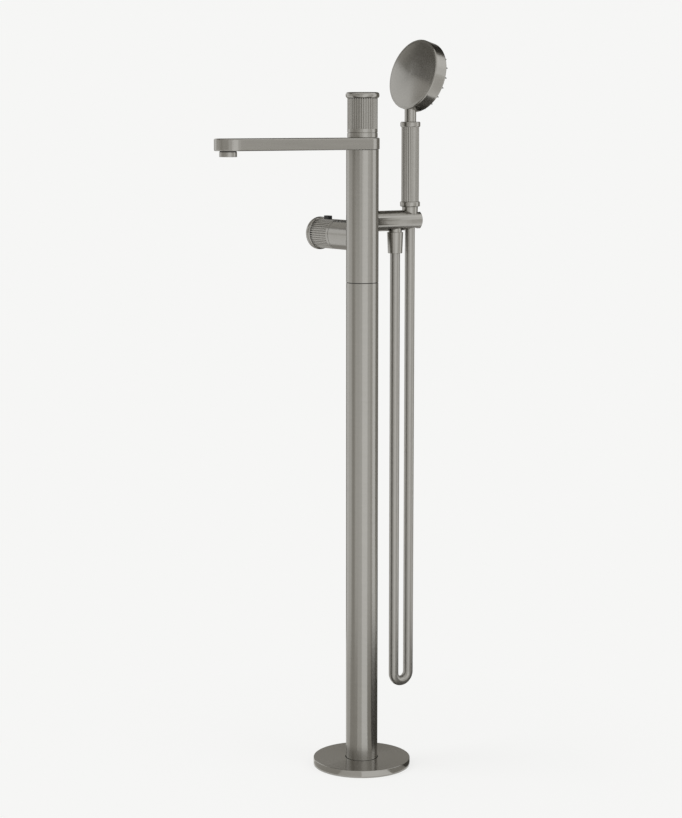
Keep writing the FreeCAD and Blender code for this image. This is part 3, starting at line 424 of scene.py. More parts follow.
def shader_group(name: str, inputs: dict[str, tuple[str, float | None]], outputs: Iterable[str],
                 fill: Fill) -> Tree:
    """A shader node group, built once.

    Args:
        name: the group's name.
        inputs: socket name to its kind and its usual value.
        outputs: names of the values that the group puts out.
        fill: makes the nodes between the group's input and output.

    Returns:
        The group.
    """
    known = bpy.data.node_groups.get(name)
    if known:
        return known
    tree = bpy.data.node_groups.new(name, "ShaderNodeTree")
    for label, (kind, value) in inputs.items():
        socket = tree.interface.new_socket(label, in_out="INPUT", socket_type=f"NodeSocket{kind}")
        if value is not None:
            socket.default_value = value
    for label in outputs:
        tree.interface.new_socket(label, in_out="OUTPUT", socket_type="NodeSocketFloat")
    fill(tree, tree.nodes.new("NodeGroupInput"), tree.nodes.new("NodeGroupOutput"))
    return tree


def math_node(tree: Tree, operation: str, *values: float | Socket) -> Socket:
    """One sum on numbers or sockets.

    Args:
        tree: the tree that the node goes into.
        operation: the sum.
        values: its numbers, or the sockets that give them.

    Returns:
        The socket of the result.
    """
    item = tree.nodes.new("ShaderNodeMath")
    item.operation = operation
    for socket, value in zip(item.inputs, values):
        if isinstance(value, Socket):
            tree.links.new(value, socket)
        else:
            socket.default_value = value
    return item.outputs[0]


def scaled(tree: Tree, parts: Iterable[Socket], factor: float | Socket) -> list[Socket]:
    """Sockets that give each part times a factor."""
    return [math_node(tree, "MULTIPLY", part, factor) for part in parts]


def noise_4d(tree: Tree, parts: Sequence[Socket], last: Socket, detail: float) -> Socket:
    """Noise on four numbers, from 0 to 1.

    Args:
        tree: the tree that the nodes go into.
        parts: the sockets of the first three numbers.
        last: the socket of the fourth.
        detail: how many finer layers lie over the first.

    Returns:
        The socket of the noise.
    """
    place, noise = tree.nodes.new("ShaderNodeCombineXYZ"), tree.nodes.new("ShaderNodeTexNoise")
    for socket, part in zip(place.inputs, parts):
        tree.links.new(part, socket)
    noise.noise_dimensions = "4D"
    noise.inputs["Scale"].default_value = 1.0
    noise.inputs["Detail"].default_value = detail
    noise.inputs["Roughness"].default_value = NOISE_ROUGHNESS
    tree.links.new(place.outputs[0], noise.inputs["Vector"])
    tree.links.new(last, noise.inputs["W"])
    return noise.outputs["Fac"]


def fill_turned(tree: Tree, given: Node, result: Node) -> None:
    """Fine lines that run round local Z: scratches as a lathe or a brushing belt leaves them.

    Args:
        tree: the group's tree.
        given: the group's input node.
        result: the group's output node.
    """
    split = tree.nodes.new("ShaderNodeSeparateXYZ")
    tree.links.new(given.outputs["Vector"], split.inputs[0])
    x, y, z = split.outputs
    squares = math_node(tree, "ADD", math_node(tree, "MULTIPLY", x, x),
                        math_node(tree, "MULTIPLY", y, y))
    radius = math_node(tree, "MAXIMUM", math_node(tree, "SQRT", squares), SMALLEST_RADIUS)
    cosine, sine = math_node(tree, "DIVIDE", x, radius), math_node(tree, "DIVIDE", y, radius)
    swept = scaled(tree, (cosine, sine), given.outputs["Sweep"])
    close = scaled(tree, (radius, z), given.outputs["Lines per Metre"])
    broad = scaled(tree, close, CLOUD_SCALE)
    lines = noise_4d(tree, (*close, swept[0]), swept[1], LINE_DETAIL)
    clouds = noise_4d(tree, (*broad, swept[0]), swept[1], CLOUD_DETAIL)
    tree.links.new(lines, result.inputs["Lines"])
    tree.links.new(clouds, result.inputs["Clouds"])


def fill_drawn(tree: Tree, given: Node, result: Node) -> None:
    """Fine lines that run along local X, as on a slab brushed lengthwise.

    Args:
        tree: the group's tree.
        given: the group's input node.
        result: the group's output node.
    """
    split = tree.nodes.new("ShaderNodeSeparateXYZ")
    tree.links.new(given.outputs["Vector"], split.inputs[0])
    x, y, z = split.outputs
    stretch = math_node(tree, "MULTIPLY", given.outputs["Sweep"], DRAWN_STRETCH)
    lengthwise = math_node(tree, "MULTIPLY", x, stretch)
    close = scaled(tree, (y, z), given.outputs["Lines per Metre"])
    broad = scaled(tree, close, CLOUD_SCALE)
    nothing = math_node(tree, "MULTIPLY", x, 0.0)
    lines = noise_4d(tree, (lengthwise, *close), nothing, LINE_DETAIL)
    clouds = noise_4d(tree, (lengthwise, *broad), nothing, CLOUD_DETAIL)
    tree.links.new(lines, result.inputs["Lines"])
    tree.links.new(clouds, result.inputs["Clouds"])


def fill_speckle(tree: Tree, given: Node, result: Node) -> None:
    """Grains with no direction, as on moulded plastic and rubber.

    Args:
        tree: the group's tree.
        given: the group's input node.
        result: the group's output node.
    """
    for label, share in (("Lines", 1.0), ("Clouds", SPECKLE_CLOUD_SCALE)):
        noise = tree.nodes.new("ShaderNodeTexNoise")
        noise.inputs["Detail"].default_value = SPECKLE_DETAIL
        tree.links.new(given.outputs["Vector"], noise.inputs["Vector"])
        scale = math_node(tree, "MULTIPLY", given.outputs["Lines per Metre"], share)
        tree.links.new(scale, noise.inputs["Scale"])
        tree.links.new(noise.outputs["Fac"], result.inputs[label])


class Pattern(Enum):
    """How a finish's fine marks run over a piece."""

    TURNED = "turned_grain"
    DRAWN = "drawn_grain"
    SPECKLE = "speckle"

    def tree(self) -> Tree:
        """The shader group that draws the marks.

        Returns:
            The group, built once.
        """
        fills = {"turned_grain": fill_turned, "drawn_grain": fill_drawn, "speckle": fill_speckle}
        inputs = {"Vector": ("Vector", None), "Lines per Metre": ("Float", 3000.0),
                  "Sweep": ("Float", 1.0)}
        return shader_group(self.value, inputs, ("Lines", "Clouds"), fills[self.value])


@dataclass(frozen=True)
class Finish:
    """A surface as its maker would order it: colour, gloss, and its marks' size and strength."""

    name: str
    slot: Slot
    colour: Triple
    roughness: float
    metallic: float = 0.0
    pattern: Pattern = Pattern.SPECKLE
    lines: float = 3000.0
    sweep: float = 1.0
    tone: float = 0.06
    spread: float = 0.05
    relief: float = 0.15
    depth: float = 0.00003
    anisotropy: float = 0.0
    specular: float = 0.5
    coat: float = 0.0

    def marks(self, tree: Tree, axis: Axis) -> Node:
        """Lay the marks about an axis.

        Args:
            tree: the material's tree.
            axis: the axis that turned marks run round.

        Returns:
            The group's node.
        """
        place, mapping = tree.nodes.new("ShaderNodeTexCoord"), tree.nodes.new("ShaderNodeMapping")
        mapping.vector_type = "TEXTURE"
        mapping.inputs["Location"].default_value = Vector(axis.origin) * MM
        mapping.inputs["Rotation"].default_value = axis.euler()
        marks = tree.nodes.new("ShaderNodeGroup")
        marks.node_tree = self.pattern.tree()
        marks.inputs["Lines per Metre"].default_value = self.lines
        marks.inputs["Sweep"].default_value = self.sweep
        tree.links.new(place.outputs["Object"], mapping.inputs["Vector"])
        tree.links.new(mapping.outputs[0], marks.inputs["Vector"])
        return marks

    def shade(self, tree: Tree, mixed: Socket) -> Socket:
        """The colour, a little darker and lighter with the marks.

        Args:
            tree: the material's tree.
            mixed: the marks' strength, from 0 to 1.

        Returns:
            The socket of the colour.
        """
        shade = tree.nodes.new("ShaderNodeMix")
        shade.data_type = "RGBA"
        swing = self.tone * TONE_REACH
        for label, share in (("A", 1 - swing), ("B", 1 + swing)):
            shades = [min(part * share, 1.0) for part in self.colour]
            shade.inputs[label].default_value = (*shades, 1.0)
        tree.links.new(mixed, shade.inputs["Factor"])
        return shade.outputs["Result"]

    def brush(self, tree: Tree, shader: Node) -> None:
        """Stretch the reflections across the lines, with the piece's grain map.

        Args:
            tree: the material's tree.
            shader: its surface shader.
        """
        shader.inputs["Anisotropic"].default_value = self.anisotropy
        tangent = tree.nodes.new("ShaderNodeTangent")
        tangent.direction_type = "UV_MAP"
        tangent.uv_map = GRAIN
        tree.links.new(tangent.outputs[0], shader.inputs["Tangent"])

    def on(self, axis: Axis = COLUMN, mapped: bool = True) -> Material:
        """The finish with its marks laid about an axis.

        Args:
            axis: the axis that turned marks run round.
            mapped: whether the piece has the grain map that brushing needs.

        Returns:
            The material, made once for each axis.
        """
        brushed = mapped and self.anisotropy > 0
        name = f"{self.name}_{axis.name}" + ("" if brushed or not self.anisotropy else "_plain")
        known = bpy.data.materials.get(name)
        if known:
            return known
        material = bpy.data.materials.new(name)
        material.use_nodes = True
        material.diffuse_color = (*self.colour, 1.0)
        tree = material.node_tree
        shader = tree.nodes["Principled BSDF"]
        marks = self.marks(tree, axis)
        mixed = math_node(tree, "ADD",
                          math_node(tree, "MULTIPLY", marks.outputs["Lines"], LINE_SHARE),
                          math_node(tree, "MULTIPLY", marks.outputs["Clouds"], 1 - LINE_SHARE))
        swing = 2 * self.spread
        gloss = math_node(tree, "ADD", math_node(tree, "MULTIPLY", mixed, 2 * swing),
                          self.roughness - swing)
        bump = tree.nodes.new("ShaderNodeBump")
        bump.inputs["Strength"].default_value = self.relief
        bump.inputs["Distance"].default_value = self.depth
        tree.links.new(marks.outputs["Lines"], bump.inputs["Height"])
        tree.links.new(self.shade(tree, mixed), shader.inputs["Base Color"])
        tree.links.new(gloss, shader.inputs["Roughness"])
        tree.links.new(bump.outputs[0], shader.inputs["Normal"])
        for label, value in (("Metallic", self.metallic), ("Specular IOR Level", self.specular),
                             ("Coat Weight", self.coat), ("Coat Roughness", COAT_ROUGHNESS)):
            shader.inputs[label].default_value = value
        if brushed:
            self.brush(tree, shader)
        return material


NICKEL_COLOUR = (0.36, 0.35, 0.325)
TURNED_NICKEL = Finish(
    "turned_nickel", Slot.NICKEL, NICKEL_COLOUR, 0.2, 1.0, Pattern.TURNED, lines=3200.0, sweep=1.2,
    tone=0.05, spread=0.03, relief=0.04, depth=0.00002, anisotropy=0.8)
DRAWN_NICKEL = Finish(
    "drawn_nickel", Slot.NICKEL, NICKEL_COLOUR, 0.2, 1.0, Pattern.DRAWN, lines=3200.0,
    tone=0.05, spread=0.03, relief=0.04, depth=0.00002, anisotropy=0.8)
STEEL = Finish(
    "satin_steel", Slot.STEEL, (0.55, 0.55, 0.54), 0.32, 1.0, Pattern.TURNED, lines=2600.0)
BRASS = Finish(
    "turned_brass", Slot.BRASS, (0.72, 0.55, 0.27), 0.3, 1.0, Pattern.TURNED, lines=2400.0)
COPPER = Finish("drawn_copper", Slot.COPPER, (0.7, 0.38, 0.24), 0.28, 1.0, lines=400.0)
RUBBER = Finish(
    "matt_rubber", Slot.RUBBER, (0.03, 0.03, 0.03), 0.75, lines=2500.0, relief=0.3, specular=0.35)
WHITE_PLASTIC = Finish(
    "moulded_white", Slot.WHITE_PLASTIC, (0.75, 0.75, 0.73), 0.42, lines=2200.0)
BLACK_PLASTIC = Finish(
    "satin_black", Slot.BLACK_PLASTIC, (0.015, 0.015, 0.015), 0.42, lines=3500.0, relief=0.25,
    specular=0.25)
SILICONE = Finish(
    "soft_silicone", Slot.SILICONE, (0.22, 0.22, 0.21), 0.55, lines=3000.0, specular=0.4)
HOSE_SKIN = Finish(
    "hose_skin", Slot.HOSE_SKIN, NICKEL_COLOUR, 0.3, 0.85, lines=1800.0, tone=0.03, spread=0.03,
    relief=0.06, coat=0.25)

CAD_FINISHES = {
    STEEL: ("base_flange", "base_spigot", "column_grub_screws", "joint_sleeve", "flow_screw",
            "thermostat_screw", "button_spring"),
    BRASS: ("hot_coupler", "cold_coupler", "flow_nut", "thermostat_nut", "flow_spindle",
            "thermostat_spindle", "outlet_ferrule", "hose_tail", "thermostat_cartridge"),
    COPPER: ("hot_pipe", "cold_pipe"),
    RUBBER: ("column_seal", "joint_ring", "thermostat_seals", "flow_seals", "spout_seals",
             "outlet_washer", "handset_washer", "head_gasket"),
    WHITE_PLASTIC: ("flow_cartridge", "slide_ring", "temperature_stop", "aerator_insert"),
}


def install(piece: Piece, finish: Finish, axis: Axis, body: str, *nodes: str) -> None:
    """Dress a finished piece, set it on its body and let it stand for CAD nodes.

    Args:
        piece: the piece, in the row frame.
        finish: what it is dressed in.
        axis: the axis that the finish's marks are laid about.
        body: the CAD body that it rides on.
        nodes: the CAD nodes that it stands for.
    """
    piece.data.materials.clear()
    piece.data.materials.append(finish.on(axis))
    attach(piece, body)
    if nodes:
        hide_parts(*nodes)
    log.info("%s rides on %s, %d faces", piece.name, body, len(piece.data.polygons))


# Sub-assemblies

@dataclass
class Hose:
    """The free hose, from the outlet nut down, round a tight U and up to the handset.

    The U's corners stand twice half_bend apart, in degrees. The sizes pull_from, pull_up and
    pull_across are for the pull of a lifted handset: it would start at the height pull_from, be
    full after pull_up on the handset's own leg, and fade out over pull_across sideways. They are
    not used.
    """

    radius: float = 7.75
    outlet: Pair = (-62.5, 810.4)
    handset: Pair = (-91.0, 849.2)
    lowest: float = 123.7
    half_bend: float = 22.5
    length: float = 1428.7
    segments: int = 48
    line_steps: int = 24
    pull_from: float = 300.0
    pull_up: float = 377.0
    pull_across: float = 16.7

    def route(self) -> Row:
        """The route's corners as in the part's source, with one more on each straight run.

        Returns:
            The corners from the outlet to the handset, in metres.
        """
        half = (self.outlet[0] - self.handset[0]) / 2
        middle = (self.outlet[0] - half, self.lowest + half)
        turn = math.radians(self.half_bend)
        reach, side = half / math.cos(turn), 2 * half * math.tan(turn)
        bend = []
        for count in (-1, -3, -5, -7):
            x, z = on_circle(reach, math.radians(count * self.half_bend))
            bend.append((middle[0] + x, middle[1] + z))
        flat = [self.outlet, (self.outlet[0], bend[0][1] + side), *bend,
                (self.handset[0], bend[-1][1] + side), self.handset]
        return [Vector((x, 0.0, z)) * MM for x, z in flat]

    def line(self) -> Row:
        """Points read from the route's smooth curve.

        Returns:
            The points from the outlet to the handset, in metres.
        """
        curve = bpy.data.curves.new("hose_line", "CURVE")
        curve.dimensions = "3D"
        curve.resolution_u = self.line_steps
        spline = curve.splines.new("NURBS")
        corners = self.route()
        spline.points.add(len(corners) - 1)
        for point, corner in zip(spline.points, corners):
            point.co = (*corner, 1.0)
        spline.order_u = 3
        spline.use_endpoint_u = True
        holder = placed("hose_line", curve)
        bpy.context.view_layer.update()
        depsgraph = bpy.context.evaluated_depsgraph_get()
        mesh = bpy.data.meshes.new_from_object(holder.evaluated_get(depsgraph))
        points = [vertex.co.copy() for vertex in mesh.vertices]
        bpy.data.objects.remove(holder)
        bpy.data.meshes.remove(mesh)
        return points

    def tube(self, points: Row) -> Piece:
        """The hose's skin round its line, closed at both ends.

        Args:
            points: the points of the line, in metres.

        Returns:
            The skin as an object in the row frame.
        """
        rows: list[Row] = []
        side = Vector((0.0, 1.0, 0.0))
        for index, point in enumerate(points):
            before, after = points[max(index - 1, 0)], points[min(index + 1, len(points) - 1)]
            up = side.cross((after - before).normalized())
            row = []
            for place in range(self.segments):
                angle = 2 * math.pi * place / self.segments
                outwards = side * math.cos(angle) + up * math.sin(angle)
                row.append(point + outwards * self.radius * MM)
            rows.append(row)
        return loft("hose_tube", [[points[0]], *rows, [points[-1]]], around=True, wrap=False)

    def build(self) -> None:
        """Make the hose and dress it."""
        points = self.line()
        piece = self.tube(points)
        piece.data.materials.append(HOSE_SKIN.on())
        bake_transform(piece)
        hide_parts("hose")
        tuple(points[0])
        [tuple(point) for point in points]
        log.info("hose follows %d points", len(points))


@dataclass
class Foot:
    """The floor plate that stands round the column's foot."""

    diameter: float = 153.0
    height: float = 11.5
    wall: float = 2.5
    edge: float = 1.0
    small_edge: float = 0.2
    hole: float = 26.0

    def build(self) -> None:
        """Make the plate and dress it."""
        radius = self.diameter / 2
        plate = turned("plate_shell", [
            (self.hole, self.height - self.wall),
            (radius - self.wall, self.height - self.wall),
            (radius - self.wall, 0.0),
            (radius, 0.0, self.small_edge),
            (radius, self.height, self.edge),
            (self.hole, self.height, self.small_edge),
        ], COLUMN, segments=192)
        install(plate, TURNED_NICKEL, COLUMN, "root", "floor_plate")


@dataclass
class Column:
    """The column tube and, over a thin dark joint line, the mixer body with its neck."""

    radius: float = 25.0
    bore: float = 23.0
    foot: float = 6.0
    joint_low: float = 767.2
    joint_high: float = 768.2
    core_bottom: float = 795.2
    top: float = 970.7
    neck: float = 18.0
    neck_top: float = 996.4
    cartridge_bore: float = 14.6
    cartridge_floor: float = 940.0
    edge: float = 0.25

    def build(self) -> None:
        """Make both pieces and dress them."""
        tube = turned("column_skin", [
            (self.bore, self.foot),
            (self.radius, self.foot),
            (self.radius, self.joint_low, self.edge),
            (self.bore, self.joint_low),
        ], COLUMN, segments=192)
        body = turned("body_skin", [
            (0.0, self.core_bottom),
            (self.bore, self.core_bottom),
            (self.bore, self.joint_high),
            (self.radius, self.joint_high, self.edge),
            (self.radius, self.top, self.edge),
            (self.neck, self.top),
            (self.neck, self.neck_top),
            (self.cartridge_bore, self.neck_top),
            (self.cartridge_bore, self.cartridge_floor),
            (0.0, self.cartridge_floor),
        ], COLUMN, segments=192)
        install(tube, TURNED_NICKEL, COLUMN, "root", "column_tube")
        install(body, TURNED_NICKEL, COLUMN, "root", "mixer_body")


@dataclass
class Spout:
    """The slab spout with its round ends."""

    bottom: float = 971.0
    thickness: float = 18.0
    width: float = 52.6
    length: float = 234.5
    hub: float = 18.05
    edge: float = 1.8
    edge_steps: int = 6
    edge_hold: float = 0.2
    arc_steps: int = 40
    side_steps: int = 24
    level_normal: float = 0.9

    def arc(self, centre: float, inset: float, start: float, sweep: float,
            steps: int) -> list[Pair]:
        """An arc of the outline, without its last point.

        Args:
            centre: where its centre is along the spout.
            inset: how far the outline is drawn in.
            start: the arc's first angle, in radians.
            sweep: how far the arc turns, in radians.
            steps: its sides.

        Returns:
            The points as x and y.
        """
        points = []
        for step in range(steps):
            x, y = on_circle(self.width / 2 - inset, start + sweep * step / steps)
            points.append((centre + x, y))
        return points

    def loop(self, inset: float, height: float) -> Row:
        """The outline drawn in by an amount, level at a height.

        Args:
            inset: how far it is drawn in.
            height: its height.

        Returns:
            The points from the middle of the hub's end once round, in metres.
        """
        side = self.width / 2 - inset
        quarter = math.pi / 2
        steps = range(self.side_steps)
        points = self.arc(0.0, inset, math.pi, quarter, self.arc_steps)
        points += [(self.length * step / self.side_steps, -side) for step in steps]
        points += self.arc(self.length, inset, -quarter, math.pi, 2 * self.arc_steps)
        points += [(self.length * (1 - step / self.side_steps), side) for step in steps]
        points += self.arc(0.0, inset, quarter, quarter, self.arc_steps)
        return [Vector((x, y, height)) * MM for x, y in points]

    def hub_loop(self, outer: Row) -> Row:
        """The hub's hole, each point in line with one of the outline's.

        Args:
            outer: the outline's points, in metres.

        Returns:
            The hole's points, in metres.
        """
        row = []
        for point in outer:
            flat = Vector((point.x, point.y)).normalized() * self.hub * MM
            row.append(Vector((flat.x, flat.y, point.z)))
        return row

    def slab(self) -> Piece:
        """The slab's skin, with brushing along it.

        Returns:
            The skin as an object in the row frame.
        """
        rows = []
        for level, sign in ((self.bottom, 1.0), (self.bottom + self.thickness, -1.0)):
            edge = [(self.edge + self.edge_hold, level)]
            for step in range(self.edge_steps + 1):
                angle = math.pi / 2 * step / self.edge_steps
                edge.append((self.edge * (1 - math.sin(angle)),
                             level + sign * self.edge * (1 - math.cos(angle))))
            edge.append((0.0, level + sign * (self.edge + self.edge_hold)))
            loops = [self.loop(inset, height) for inset, height in edge]
            loops.insert(0, self.hub_loop(loops[0]))
            rows.extend(loops if sign > 0 else loops[::-1])
        piece = loft("spout_slab", rows, around=True, wrap=True)
        mesh = piece.data
        layer = mesh.uv_layers[GRAIN].data
        for face in mesh.polygons:
            if abs(face.normal.z) > self.level_normal:
                for index in face.loop_indices:
                    spot = mesh.vertices[mesh.loops[index].vertex_index].co
                    layer[index].uv = (spot.y, spot.x)
        return piece

    def build(self) -> None:
        """Make the slab and dress it."""
        install(self.slab(), DRAWN_NICKEL, COLUMN, "spout", "spout")


@dataclass
class Aerator:
    """The aerator's housing under the spout's tip, with the dark seal over it."""

    bore: float = 9.5
    radius: float = 13.1
    bottom: float = -8.8
    shoulder: float = -1.6
    collar: float = 11.5
    spigot: float = 10.9
    spigot_top: float = 2.6
    edges: Triple = (0.2, 0.6, 0.3)
    seal_radius: float = 12.5
    clear: float = 0.05
    segments: int = 96

    def build(self) -> None:
        """Make both pieces and dress them."""
        bore_edge, low_edge, high_edge = self.edges
        housing = turned("aerator_shell", [
            (self.bore, self.bottom, bore_edge),
            (self.radius, self.bottom, low_edge),
            (self.radius, self.shoulder, high_edge),
            (self.collar, self.shoulder),
            (self.collar, 0.0),
            (self.spigot, 0.0),
            (self.spigot, self.spigot_top),
            (self.bore, self.spigot_top),
        ], AERATOR, self.segments)
        install(housing, TURNED_NICKEL, AERATOR, "spout", "aerator_housing")
        seal = plain_ring("aerator_seal", self.collar + self.clear, self.seal_radius,
                          self.shoulder + self.clear, -self.clear, AERATOR, self.segments)
        install(seal, RUBBER, AERATOR, "spout")


@dataclass
class Knob:
    """A fluted knob with a rounded rim cap, as a piece turned on its own axis.

    The profile is half a flute's section, as (angle in degrees, depth), and deepening multiplies
    its depth. The flute_holds keep the wall flat in shading: they are the distances of three rows
    from the flutes' lower end, again from there, and from the notch. A dark rubber ring paints the
    shade in the notches under the cap; its gaps are its distances from the notch's start, the cap,
    the wall's outside and the notch's floor.
    """

    name: str
    body: str
    axis: Axis
    grip: float
    radius: float = 23.2
    wall: float = 4.6
    edge: float = 0.5
    ring: float = 5.3
    cap_radius: float = 25.8
    cap_height: float = 9.1
    cap_rounding: float = 3.6
    cap_spigot: float = 3.0
    cap_fit: float = 0.1
    flutes: int = 40
    flute_holds: Triple = (0.25, 0.4, 0.3)
    run_out: float = 0.12
    notch: float = 1.3
    notch_depth: float = 1.9
    notch_step: float = 0.05
    seal_gaps: tuple[float, float, float, float] = (0.06, 0.02, 0.4, 0.3)
    lip: float = 0.0
    lip_width: float = 4.1
    deepening: float = 1.25
    segments: int = 160
    profile: tuple[Pair, ...] = (
        (0.0, 0.0), (0.8, 0.006), (1.5, 0.03), (2.1, 0.09), (2.6, 0.2), (3.0, 0.42), (3.55, 0.8),
        (3.8, 0.88), (4.5, 0.9))

    @property
    def length(self) -> float:
        """The knob's length up to the cap."""
        return self.ring + self.grip

    @property
    def notch_low(self) -> float:
        """Where the deep notch under the cap starts."""
        return self.length - self.notch

    def columns(self) -> list[Pair]:
        """Angles and flute depths across one sector, from rib middle to rib middle.

        Returns:
            The angle in degrees and the depth of each column of points.
        """
        half = list(self.profile)
        pitch = 360 / self.flutes
        return half + [(pitch - angle, depth) for angle, depth in half[-2::-1]]

    def rows(self) -> list[Triple]:
        """The wall's outline: smooth ring below, flutes, deep notch under the cap, inner wall.

        Returns:
            Rows of (radius, height, share of the profile's depth).
        """
        inner = self.radius - self.wall
        rows = [(inner, -self.lip, 0.0)]
        if self.lip:
            rows += [(inner + self.lip_width, height, 0.0) for height in (-self.lip, 0.0)]
        foot = [(inner, 0.0), (self.radius, 0.0, self.edge), (self.radius, self.ring)]
        rows += [(radius, height, 0.0) for radius, height in eased(foot, False)[1:-1]]
        full, deep = self.deepening, self.notch_depth / self.profile[-1][1]
        below, above, before_notch = self.flute_holds
        rows += [(self.radius, height, share) for height, share in (
            (self.ring - below, 0.0),
            (self.ring, 0.0),
            (self.ring + self.run_out, full),
            (self.ring + above, full),
            (self.notch_low - before_notch, full),
            (self.notch_low, full),
            (self.notch_low + self.notch_step, deep),
            (self.length, deep),
        )]
        return rows + [(inner, self.length, 0.0)]

    def cap(self) -> Piece:
        """The rim cap, rounded above and below.

        Returns:
            The cap as an object in the row frame.
        """
        seat = self.radius - self.wall - self.cap_fit
        top = self.length + self.cap_height
        return turned(f"{self.name}_rim", [
            (0.0, self.length - self.cap_spigot),
            (seat, self.length - self.cap_spigot),
            (seat, self.length),
            (self.cap_radius, self.length, self.cap_rounding),
            (self.cap_radius, top, self.cap_rounding),
            (0.0, top),
        ], self.axis, self.segments, steps=12)

    def seal(self) -> Piece:
        """A dark rubber ring that paints the shade in the notches under the cap.

        Returns:
            The ring as an object in the row frame.
        """
        above, below, inset, overlap = self.seal_gaps
        # Painted shade: a black rubber ring fills the notches, where in truth only shade falls.
        return plain_ring(f"{self.name}_seal", self.radius - self.notch_depth - overlap,
                          self.radius - inset, self.notch_low + above, self.length - below,
                          self.axis, self.segments)

    def build(self, window: Piece | None = None) -> None:
        """Make the fluted grip, the cap and the dark ring of painted shade between them, and dress
        them.

        Args:
            window: a block to cut out of the grip, taken away afterwards.
        """
        sector = fluted_sector(f"{self.name}_grip", self.rows(), self.columns())
        grip = repeated(sector, self.flutes, TURNED_NICKEL.on(self.axis), self.axis)
        if window:
            cut = grip.modifiers.new("window", "BOOLEAN")
            cut.operation, cut.solver, cut.object = "DIFFERENCE", "EXACT", window
            make_plain(grip)
            bpy.data.objects.remove(window)
        install(grip, TURNED_NICKEL, self.axis, self.body, f"{self.name}_knob")
        install(self.cap(), TURNED_NICKEL, self.axis, self.body, f"{self.name}_cap")
        # The ring of painted shade in the notches under the cap.
        install(self.seal(), RUBBER, self.axis, self.body)


@dataclass
class FlowControl:
    """The smooth collar on the spout and the fluted flow knob over it."""

    collar_bottom: float = 989.3
    collar_top: float = 996.4
    collar_radius: float = 23.25
    collar_edge: float = 0.4
    neck: float = 18.1
    knob_base: float = 997.0
    grip: float = 46.4
    lip: float = 0.45
    notch: float = 1.0

    def build(self) -> None:
        """Make the collar and the knob."""
        collar = turned("collar_ring", [
            (self.neck, self.collar_bottom),
            (self.collar_radius, self.collar_bottom, self.collar_edge),
            (self.collar_radius, self.collar_top, self.collar_edge),
            (self.neck, self.collar_top),
        ], COLUMN, segments=160)
        install(collar, TURNED_NICKEL, COLUMN, "root", "knob_collar")
        axis = Axis("flow", (0.0, 0.0, self.knob_base))
        Knob("flow", "flow_knob", axis, self.grip, lip=self.lip, notch=self.notch).build()


